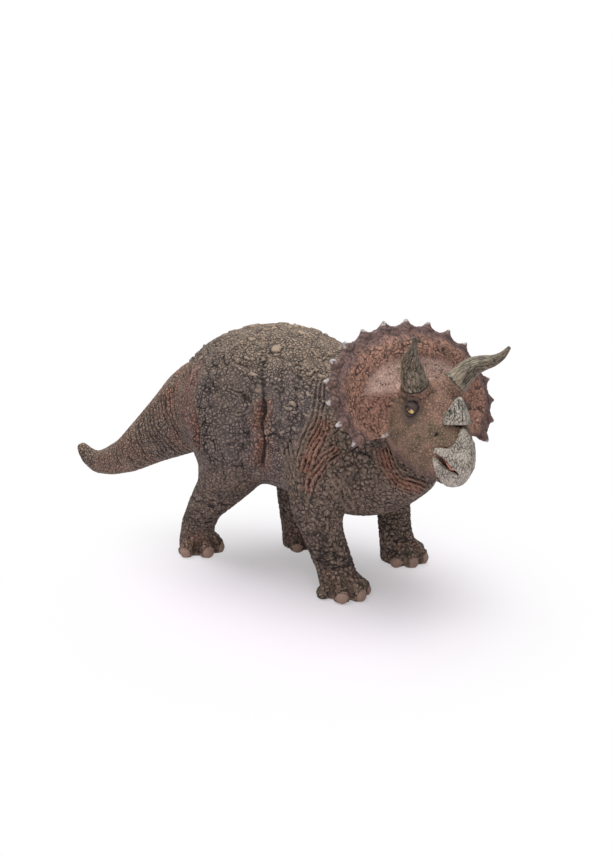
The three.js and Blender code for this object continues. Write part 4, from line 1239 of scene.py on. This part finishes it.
def skin_material(name, skin, head=None):
    """The painted skin. The head's coats are laid over the body's and fade out at the neck."""
    paint = Paint(name)
    mask, between, times, over = paint.mask, paint.between, paint.times, paint.over
    wide, patch, speck = (paint.noise(size) for size in (17, 5.5, 0.8))
    colour = over(
        skin.flesh,
        (shaded(skin.flesh, 0.86), between(wide, 0.38, 0.62)),
        (skin.slate, mask("slate", 0.8)),
        # painted shade: the flesh darkened where the dark mask lies
        (shaded(skin.flesh, 0.8), mask("dark", 0.5)),
        (skin.rust, times(mask("rust"), between(patch, 0.3, 0.6, 0.5, 1.0))),
    )
    # The tops mask carries the dry brush on raised scales and ridges, and the painted highlight along the top of the
    # back
    light, brushed = skin.drybrush, times(mask("tops"), between(speck, 0.35, 0.6, 0.5, 1.0), 0.5)
    if head:
        face = over(
            head.face,
            (FACE_SHADE, between(patch, 0.42, 0.66, 0.0, 0.9)),
            (head.frill, between(wide, 0.48, 0.62, 0.0, 0.5)),
        )
        colour = over(
            colour,
            (face, mask("face")),
            (over(head.frill, (shaded(head.frill, 0.84), between(patch, 0.4, 0.66))), mask("frill")),
            (head.dish, mask("dish", 0.85)),
            (head.rim, mask("rim", 0.8)),
        )
        headlike = paint.reckon("ADD", mask("frill"), mask("face", 0.6))
        light = over(skin.drybrush, (head.frill_light, headlike))
        brushed = times(brushed, between(mask("rim"), 0.0, 1.0, 1.0, 0.35))
    colour = over(colour, (skin.wash, between(mask("tone"), 0.1, 0.9, 0.0, 0.2)), (light, brushed))
    uneven = between(patch, 0.34, 0.6, 0.6, 1.0)
    merged = between(paint.noise(1.9, 2), 0.4, 0.56, 0.15, 1.0)
    cell, broad = paint.cells(1.15 if head else 1.5), paint.cells(2.0)
    networks = [(cell, "fine", 0.16, 0.85, uneven), (broad, "coarse", 0.16, 0.95, merged)]
    if head:
        networks.append((paint.grain_cells(), "ringed", 0.15, 0.75, merged))
    for network, kind, edge, strength, gate in networks:
        amount = times(mask(kind), gate)
        colour = over(
            colour,
            (light, times(between(network, 1.2 * edge, 2.4 * edge, 0.0, 0.35), amount)),
            (skin.wash, times(between(network, 0.3 * edge, edge, strength, 0.0), amount)),
        )
    colour = over(colour, (shaded(skin.drybrush, 1.12), mask("plate", 0.2)), (skin.nail, mask("nail")))
    if head:
        colour = over(colour, (head.lid, mask("lid", 0.8)))
    # The wash mask: dark wash in grooves, folds and cracks, and painted shade in the deep hollows, between the toes
    # and in the mouth's slit
    grooves = times(between(mask("wash"), 0.18, 0.78), between(speck, 0.3, 0.7, 1.0, 0.8))
    colour = over(colour, (skin.wash, grooves))
    if head:
        colour = over(colour, (head.spike, times(mask("spike"), between(speck, 0.35, 0.55, 0.35, 1.0))))
    scales = times(between(cell, 0.0, 0.22), mask("fine"))
    ridges = times(between(broad, 0.0, 0.24), mask("coarse"))
    roughness = between(speck, 0.3, 0.7, 0.56, 0.72)
    return paint.finish(colour, roughness, bumps=[(speck, 0.1), (scales, 0.28), (ridges, 0.5)])


class FIGURE_OT_skin(bpy.types.Operator):
    """Sculpt and paint the moulded skin of torso halves, tail, legs and head"""

    bl_idname = "figure.skin"
    bl_label = "Skin"
    bl_options = {"REGISTER", "UNDO"}

    def execute(self, context):
        settings = context.scene.figure.skin
        skin, label = fuse(SKIN_NODES, settings.grain / MM)
        clay = Clay(skin)
        shape_skin(clay, label)
        share_out(skin, label)
        clay.keep_paint()
        apply_modifier(skin, "SUBSURF", levels=1, render_levels=1)
        clay = Clay(skin)
        carve_folds(clay, settings.fold_depth / MM)
        sculpt_feet(clay)
        sculpt_face(clay)
        relief(clay, settings)
        open_mouth(clay)
        body = skin_material("body_skin_paint", settings)
        head = skin_material("head_skin_paint", settings, context.scene.figure.head)
        for piece, node in zip(part(skin, clay, [node + "_skin" for node in SKIN_NODES]), SKIN_NODES):
            look = (head, "head_skin") if node == "head" else (body, "body_skin")
            finish_piece(piece, *look, node)
        return {"FINISHED"}


# Eyes, beak, horns and tongue.

# The clays' edge length, and how far their solids are grown.
BEAK_CLAY = (0.36, 0.16)
TONGUE_CLAY = (0.3, 0.05)
# What the tongue is stretched by and moved by, in the head's frame.
TONGUE_STRETCH = (1, 1.9, 1)
TONGUE_SHIFT = (0.3, 0, 0.2)
EYE_SIDES = {"right_eye": -1, "left_eye": 1}
EYE_COAT = (0.3, 0.05)
NOSE_HORN_CUT = (20.0, 0, -11.5)


def ball(name, centre, radius):
    clear_selection()
    bpy.ops.mesh.primitive_uv_sphere_add(segments=48, ring_count=32, radius=radius * MM)
    piece = bpy.context.object
    piece.name = piece.data.name = name
    piece.location = Vector(from_head(centre)) * MM
    hold(piece)
    bpy.ops.object.transform_apply(location=True, rotation=True, scale=True)
    piece.data.shade_smooth()
    return piece


def eye_material(head):
    paint = Paint("eye_gloss")
    turn = paint.mask("from_pupil")
    colour = paint.over(
        head.iris,
        (IRIS_FLECK, paint.times(paint.between(paint.noise(0.35), 0.45, 0.65), 0.6)),
        (IRIS_RING, paint.between(turn, 0.46, 0.38)),
        (PUPIL, paint.between(turn, 0.26, 0.18)),
        (EYE_EDGE, paint.between(turn, 0.95, 1.1)),
    )
    return paint.finish(colour, roughness=0.25, specular=0.4, coat=EYE_COAT)


class FIGURE_OT_eyes(bpy.types.Operator):
    """Set the two glossy eyes behind their lids"""

    bl_idname = "figure.eyes"
    bl_label = "Eyes"
    bl_options = {"REGISTER", "UNDO"}

    def execute(self, context):
        material = eye_material(context.scene.figure.head)
        for name, side in EYE_SIDES.items():
            flip = np.array([1, -side, 1])
            piece = ball(name, EYE * flip, EYE_RADIUS)
            clay = Clay(piece)
            away = clay.at - from_head(EYE * flip)
            cosine = (away @ unit(HEAD_AXES @ (PUPIL_AIM * flip))) / norms(away)
            clay.daub("from_pupil", np.arccos(np.clip(cosine, -1, 1)))
            clay.keep_paint()
            finish_piece(piece, material, "head_skin")
        return {"FINISHED"}


def keratin_material(name, base, wash, light, roughness, darkness):
    """Horn: a base coat, a brushed highlight, and dark hair cracks that run with the grain."""
    paint = Paint(name)
    mask, between, times = paint.mask, paint.between, paint.times
    patch, speck, cracks = paint.noise(4.5), paint.noise(0.6), paint.grain_cells()
    hair = times(between(cracks, 0.04, 0.2, darkness, 0.0), between(patch, 0.36, 0.56, 0.45, 1.0))
    colour = paint.over(
        base,
        (shaded(base, 0.9), between(patch, 0.4, 0.62)),
        (light, times(mask("tops"), between(speck, 0.35, 0.6, 0.25, 0.8))),
        (wash, times(between(speck, 0.56, 0.7), 0.25)),
        (wash, times(hair, between(speck, 0.36, 0.5))),
        (wash, between(mask("wash"), 0.1, 0.8)),
    )
    bumps = [(speck, 0.06), (between(cracks, 0.0, 0.2), 0.15)]
    return paint.finish(colour, roughness, bumps, specular=0.35)


def beak_relief(clay, seed, split):
    """Short cracks that run with the beak and a wash in its folds; where it is split, deep dark ones too."""
    at = to_head(clay.at)
    grain, full = Grain(len(at)), np.ones(len(at))
    strong = split * smooth(-12.0, -9.0, at[:, 2])
    warp = warps(at, size=3.0, seed=seed)
    bent = at + 0.5 * warp
    grain.lay_cells(
        full, bent * (1, 1, 0.6), size=1.3, depth=0.1, seed=seed + 3, width=0.24, gaps=0.1, crown=0.05, stain=0.2
    )
    grain.lay_lines(0.8 * full, bent / (1.6, 1.6, 4.5), depth=0.16, seed=seed + 5, width=0.12)
    splits = (at[:, 1] + 0.35 * at[:, 0] + 0.6 * warp[:, 0]) / 1.6
    grain.lay_bands(strong, splits, at[:, 2] / 2.2, depth=0.45, seed=seed + 7)
    sunk = clay.sunk(rounds=14)
    clay.push(grain.height)
    groove = grain.groove * (0.55 + 0.45 * strong)
    clay.daub("wash", 0.8 * groove + 0.5 * smooth(0.15, 0.5, sunk))
    clay.daub("tops", grain.tops)
    clay.paint["grain"] = bent / (1.0, 1.0, 2.4)
    clay.measure()


def trim_nose_horn(shape):
    """Cuts the nose horn's foot off above the strip of skin over the beak, broadens it and draws its tip up."""
    edge = Vector(from_head(NOSE_HORN_CUT)) * MM
    way = Vector(HEAD_AXES @ np.array([-0.25, 0, 1.0])).normalized()
    geometry = shape.verts[:] + shape.edges[:] + shape.faces[:]
    bmesh.ops.bisect_plane(shape, geom=geometry, plane_co=edge, plane_no=way, clear_inner=True)
    bmesh.ops.holes_fill(shape, edges=[edge for edge in shape.edges if edge.is_boundary])
    for vert in shape.verts:
        x, y, z = to_head(np.array(vert.co) / MM)
        up = min(max((z + 12.0) / 8.6, 0), 1)
        shaped = (x + 0.12 * (x - 18.5) * (1 - up), y * (1.22 - 0.24 * up), z + 2.0 * up**1.5)
        vert.co = Vector(from_head(shaped)) * MM


def point_beak(clay):
    """Sinks the upper beak's shoulders into the skin and draws its middle up, so that it ends in a point."""
    at = to_head(clay.at)
    over = np.abs(at[:, 1]) - 0.8 * (-12.9 - at[:, 2])
    clay.push(-2.4 * smooth(-0.1, 0.8, over) * smooth(-20.8, -19.9, at[:, 2]))
    drawn = smooth(-19.0, -14.6, at[:, 2]) * bump(np.abs(at[:, 1]), 4.0)
    clay.at += (drawn[:, None] * (-1.1, 0, 1.9)) @ HEAD_AXES.T
    clay.measure()


def shape_beak(clay):
    point_beak(clay)
    beak_relief(clay, seed=101, split=0.0)


def shape_nose_horn(clay):
    beak_relief(clay, seed=131, split=1.0)


class FIGURE_OT_beak(bpy.types.Operator):
    """Model the upper and lower beak and the nose horn with their cracked, pitted surface"""

    bl_idname = "figure.beak"
    bl_label = "Beak and nose horn"
    bl_options = {"REGISTER", "UNDO"}

    def execute(self, context):
        colours = context.scene.figure.horns
        coats = colours.beak, colours.beak_wash, shaded(colours.beak, 1.12)
        material = keratin_material("beak_paint", *coats, roughness=0.55, darkness=0.85)
        for nodes, trim, shape in (
            (["upper_beak", "lower_beak"], None, shape_beak),
            (["nose_horn"], trim_nose_horn, shape_nose_horn),
        ):
            shells = [node + "_shell" for node in nodes]
            mould(nodes, shells, (material, "beak"), clay_settings=(*BEAK_CLAY, trim), softness=8, shape=shape)
        return {"FINISHED"}


def loft(rings):
    """Quads between closed rings of points, and fans that close both ends."""
    count, sides = rings.shape[:2]
    points = np.concatenate([rings.reshape(-1, 3), [rings[0].mean(0), rings[-1].mean(0)]])
    last = (count - 1) * sides
    quads, fans = [], []
    for k in range(sides):
        n = (k + 1) % sides
        quads += [(r + k, r + n, r + sides + n, r + sides + k) for r in range(0, last, sides)]
        fans += [(n, k, count * sides), (last + k, last + n, count * sides + 1)]
    return points, quads, fans


def horn_mesh(name, tip):
    """A brow horn as rings along its middle line, with its grain carved into them."""
    rows = np.array(HORN_ROWS)
    line = curve(np.concatenate([rows[:, :3] * tip, rows[:, 3:]], 1), HORN_STEP)
    middle, radius = line[:, :3], line[:, 3]
    ways = np.gradient(middle, axis=0)
    ways /= norms(ways)[:, None]
    middle = np.concatenate([middle, middle[-1] + ways[-1] * HORN_CAP[:, None] * radius[-1]])
    radius = np.concatenate([radius, radius[-1] * np.sqrt(1 - HORN_CAP**2)])
    ways = np.concatenate([ways, np.tile(ways[-1], (len(HORN_CAP), 1))])
    side = np.cross(ways[0], [0, 0, 1.0])
    angle = np.arange(HORN_SIDES) / HORN_SIDES * 2 * np.pi
    round_x, round_y = np.cos(angle), np.sin(angle)
    rings, tracks = [], []
    for place, way, thick, run in zip(middle, ways, radius, path_starts(middle)):
        side = unit(side - way * (side @ way))
        up = np.cross(way, side)
        rings.append(place + thick * (round_x[:, None] * side + round_y[:, None] * up))
        tracks.append(columns(round_x * HORN_TRACK, round_y * HORN_TRACK, np.full(HORN_SIDES, run)))
    points, quads, fans = loft(np.array(rings))
    tracks = np.concatenate([*tracks, tracks[0][:1], tracks[-1][-1:]])
    made = add_piece(name, mesh_of(name, from_head(points), quads, fans))
    clay, grain = Clay(made), Grain(len(tracks))
    run = tracks[:, 2]
    total = run[-1]
    bent = tracks + warps(tracks, size=5, seed=151) * (0.25, 0.25, 1.5)
    grooved = window(run, 2.6, 5.0, total - 5, total)
    grain.lay_lines(0.3 + 0.4 * grooved, bent / (0.75, 0.75, 6), depth=0.14, seed=155, width=0.24, breaks=0.1)
    grain.lay_lines(0.9 * grooved, bent / (1.5, 1.5, 12), depth=0.26, seed=157, width=0.13, breaks=-0.05)
    lower = grooved * smooth(0.75, 0.6, run / total)
    grain.lay_lines(0.9 * lower, bent / (7, 7, 3.4), depth=0.3, seed=159, width=0.09, breaks=-0.2)
    grain.lay_cells(0.5 * smooth(5, 2.5, run), bent * (1, 1, 0.8), size=1.1, depth=0.1, seed=161, width=0.25)
    clay.push(grain.height * smooth(total + 0.5, total - 3, run))
    streak = smooth(0.1, 0.8, clouds(bent / (1, 1, 5), size=1.9, seed=167))
    soft = smooth(-0.1, 0.7, clouds(bent / (1, 1, 4), size=1.5, seed=165))
    dark_tip = smooth(total - 5, total, run) * smooth(-0.4, 0.4, clouds(tracks, size=1.5, seed=163))
    clay.daub("wash", 0.8 * grain.groove + 0.35 * streak * grooved)
    clay.daub("wash", 0.15 * dark_tip)
    clay.daub("tops", 0.7 * grain.tops + 0.45 * smooth(5.5, 2.0, run) + 0.5 * soft)
    clay.paint["grain"] = bent / (0.95, 0.95, 5.5)
    clay.measure()
    clay.keep_paint()
    return made


class FIGURE_OT_horns(bpy.types.Operator):
    """Model the two brow horns with their lengthwise grain"""

    bl_idname = "figure.horns"
    bl_label = "Brow horns"
    bl_options = {"REGISTER", "UNDO"}

    def execute(self, context):
        colours = context.scene.figure.horns
        coats = colours.horn, colours.horn_wash, colours.horn_light
        material = keratin_material("horn_paint", *coats, roughness=0.48, darkness=1.0)
        for node, tip in HORN_TIP.items():
            finish_piece(horn_mesh(node + "_shell", tip), material, "horn", node)
        return {"FINISHED"}


def shape_tongue(clay):
    """Broadens the tongue, so that it fills the mouth, and draws the groove along its middle."""
    clay.at = from_head(to_head(clay.at) * TONGUE_STRETCH + TONGUE_SHIFT)
    clay.measure()
    line = bump(np.abs(to_head(clay.at)[:, 1]), 0.6)
    clay.push(0.12 * clouds(clay.at, size=1.2, seed=171) - 0.3 * line * (clay.normal[:, 2] > 0))
    clay.daub("wash", 0.5 * line)
    clay.measure()


class FIGURE_OT_tongue(bpy.types.Operator):
    """Model the satin tongue in the open mouth"""

    bl_idname = "figure.tongue"
    bl_label = "Tongue"
    bl_options = {"REGISTER", "UNDO"}

    def execute(self, context):
        pink = context.scene.figure.horns.tongue
        paint = Paint("tongue_satin")
        patch = paint.between(paint.noise(1.6), 0.4, 0.62)
        colour = paint.over(pink, (shaded(pink, 0.78), patch), (MOUTH_SHADE, paint.mask("wash")))
        material = paint.finish(colour, roughness=0.38, bumps=[(paint.noise(0.5, 2), 0.08)], specular=0.45)
        look = (material, "tongue")
        mould(["tongue"], ["tongue_satin"], look, clay_settings=TONGUE_CLAY, softness=6, shape=shape_tongue)
        return {"FINISHED"}


# Stage.

FLOOR_SIZE = 60
# Where the floor's shadow stays, how far from there it fades out, in metres, and how much of it is white anyway.
SHADOW_PLACE = (0.04, -0.03, 0)
SHADOW_FADE = (0.03, 0.13)
LEAST_WHITE = 0.33
# Each lamp's place, what it shines on, its size in metres and its power.
LAMPS = (
    ("overhead_softbox", (-100, 50, 800), (0, 0, 50), 0.8, 7.6),
    ("front_softbox", (350, -600, 350), (30, 0, 60), 0.6, 2.2),
)
WORLD_GLOW = 0.14
CAMERA_AZIMUTH = math.radians(33)
CAMERA_ELEVATION = math.radians(18)
CAMERA_DISTANCE = 700
CAMERA_TARGET = np.array([18.88, 5.12, 61.88])
CAMERA_LENS = 68.26
CAMERA_SENSOR = 36
CAMERA_CLIP = (0.01, 100)


def look_at(thing, place, target):
    thing.location = Vector(place) * MM
    toward = Vector(target) * MM - thing.location
    thing.rotation_euler = toward.to_track_quat("-Z", "Y").to_euler()


def floor_paper(colour):
    """Matt paper that keeps the shadow near the figure and turns white away from it."""
    paint = Paint("floor_paper")
    paper = paint.over(colour, (shaded(colour, 0.985), paint.noise(60, 1)))
    material = paint.finish(paper, roughness=0.95, specular=0.0)
    far = paint.add("VectorMath", {0: paint.place}, operation="DISTANCE")
    far.inputs[1].default_value = SHADOW_PLACE
    white = paint.between(far.outputs["Value"], *SHADOW_FADE, LEAST_WHITE, 1.0)
    shine = paint.add("Emission", {"Color": WHITE, "Strength": 1.0})
    paint.show(paint.shader, shine, paint.times(white, paint.seen_directly()), paint.nodes["Material Output"])
    return material


class FIGURE_OT_stage(bpy.types.Operator):
    """Set up the pale floor, the soft lamps and the camera"""

    bl_idname = "figure.stage"
    bl_label = "Stage"
    bl_options = {"REGISTER", "UNDO"}

    def execute(self, context):
        scene = context.scene
        scene.view_settings.view_transform = "Standard"
        clear_selection()
        bpy.ops.mesh.primitive_plane_add(size=FLOOR_SIZE)
        floor = context.object
        floor.name = "floor"
        floor.data.materials.append(floor_paper(scene.figure.stage.floor))

        scene.world = scene.world or bpy.data.worlds.new("studio")
        scene.world.use_nodes = True
        sky = Nodes(scene.world.node_tree)
        sky.nodes.clear()
        glow = sky.add("Background", {"Color": WHITE, "Strength": WORLD_GLOW})
        white = sky.add("Background", {"Color": WHITE, "Strength": 1.0})
        sky.show(glow, white, sky.seen_directly(), sky.add("OutputWorld"))

        for name, place, target, size, power in LAMPS:
            data = bpy.data.lights.new(name, "AREA")
            data.size, data.energy = size, power
            look_at(add_piece(name, data), place, target)

        lens = bpy.data.cameras.new("camera")
        lens.lens, lens.sensor_width = CAMERA_LENS, CAMERA_SENSOR
        lens.clip_start, lens.clip_end = CAMERA_CLIP
        scene.camera = add_piece("camera", lens)
        out, up = math.cos(CAMERA_ELEVATION), math.sin(CAMERA_ELEVATION)
        back = np.array([math.sin(CAMERA_AZIMUTH) * out, -math.cos(CAMERA_AZIMUTH) * out, up])
        look_at(scene.camera, CAMERA_TARGET + CAMERA_DISTANCE * back, CAMERA_TARGET)
        return {"FINISHED"}


class FIGURE_PT_panel(bpy.types.Panel):
    """Lists the figure's pieces and settings"""

    bl_idname = "FIGURE_PT_panel"
    bl_label = "Toy dinosaur figure"
    bl_space_type = "VIEW_3D"
    bl_region_type = "UI"
    bl_category = "Figure"

    def draw(self, context):
        figure = context.scene.figure
        for title, group, operators in (
            ("Skin", figure.skin, ["figure.skin"]),
            ("Head", figure.head, ["figure.eyes"]),
            ("Horns, beak and tongue", figure.horns, ["figure.horns", "figure.beak", "figure.tongue"]),
            ("Stage", figure.stage, ["figure.stage"]),
        ):
            box = self.layout.box()
            box.label(text=title)
            for name in group.__annotations__:
                box.prop(group, name)
            for operator in operators:
                box.operator(operator)


CLASSES = (
    SkinSettings,
    HeadSettings,
    HornSettings,
    StageSettings,
    FigureSettings,
    FIGURE_OT_skin,
    FIGURE_OT_eyes,
    FIGURE_OT_beak,
    FIGURE_OT_horns,
    FIGURE_OT_tongue,
    FIGURE_OT_stage,
    FIGURE_PT_panel,
)


def register():
    for kind in CLASSES:
        bpy.utils.register_class(kind)
    bpy.types.Scene.figure = PointerProperty(type=FigureSettings)


def unregister():
    del bpy.types.Scene.figure
    for kind in reversed(CLASSES):
        bpy.utils.unregister_class(kind)


def main():
    register()
    bpy.ops.figure.stage()
    bpy.ops.figure.skin()
    bpy.ops.figure.eyes()
    bpy.ops.figure.beak()
    bpy.ops.figure.horns()
    bpy.ops.figure.tongue()


if __name__ == "__main__":
    main()
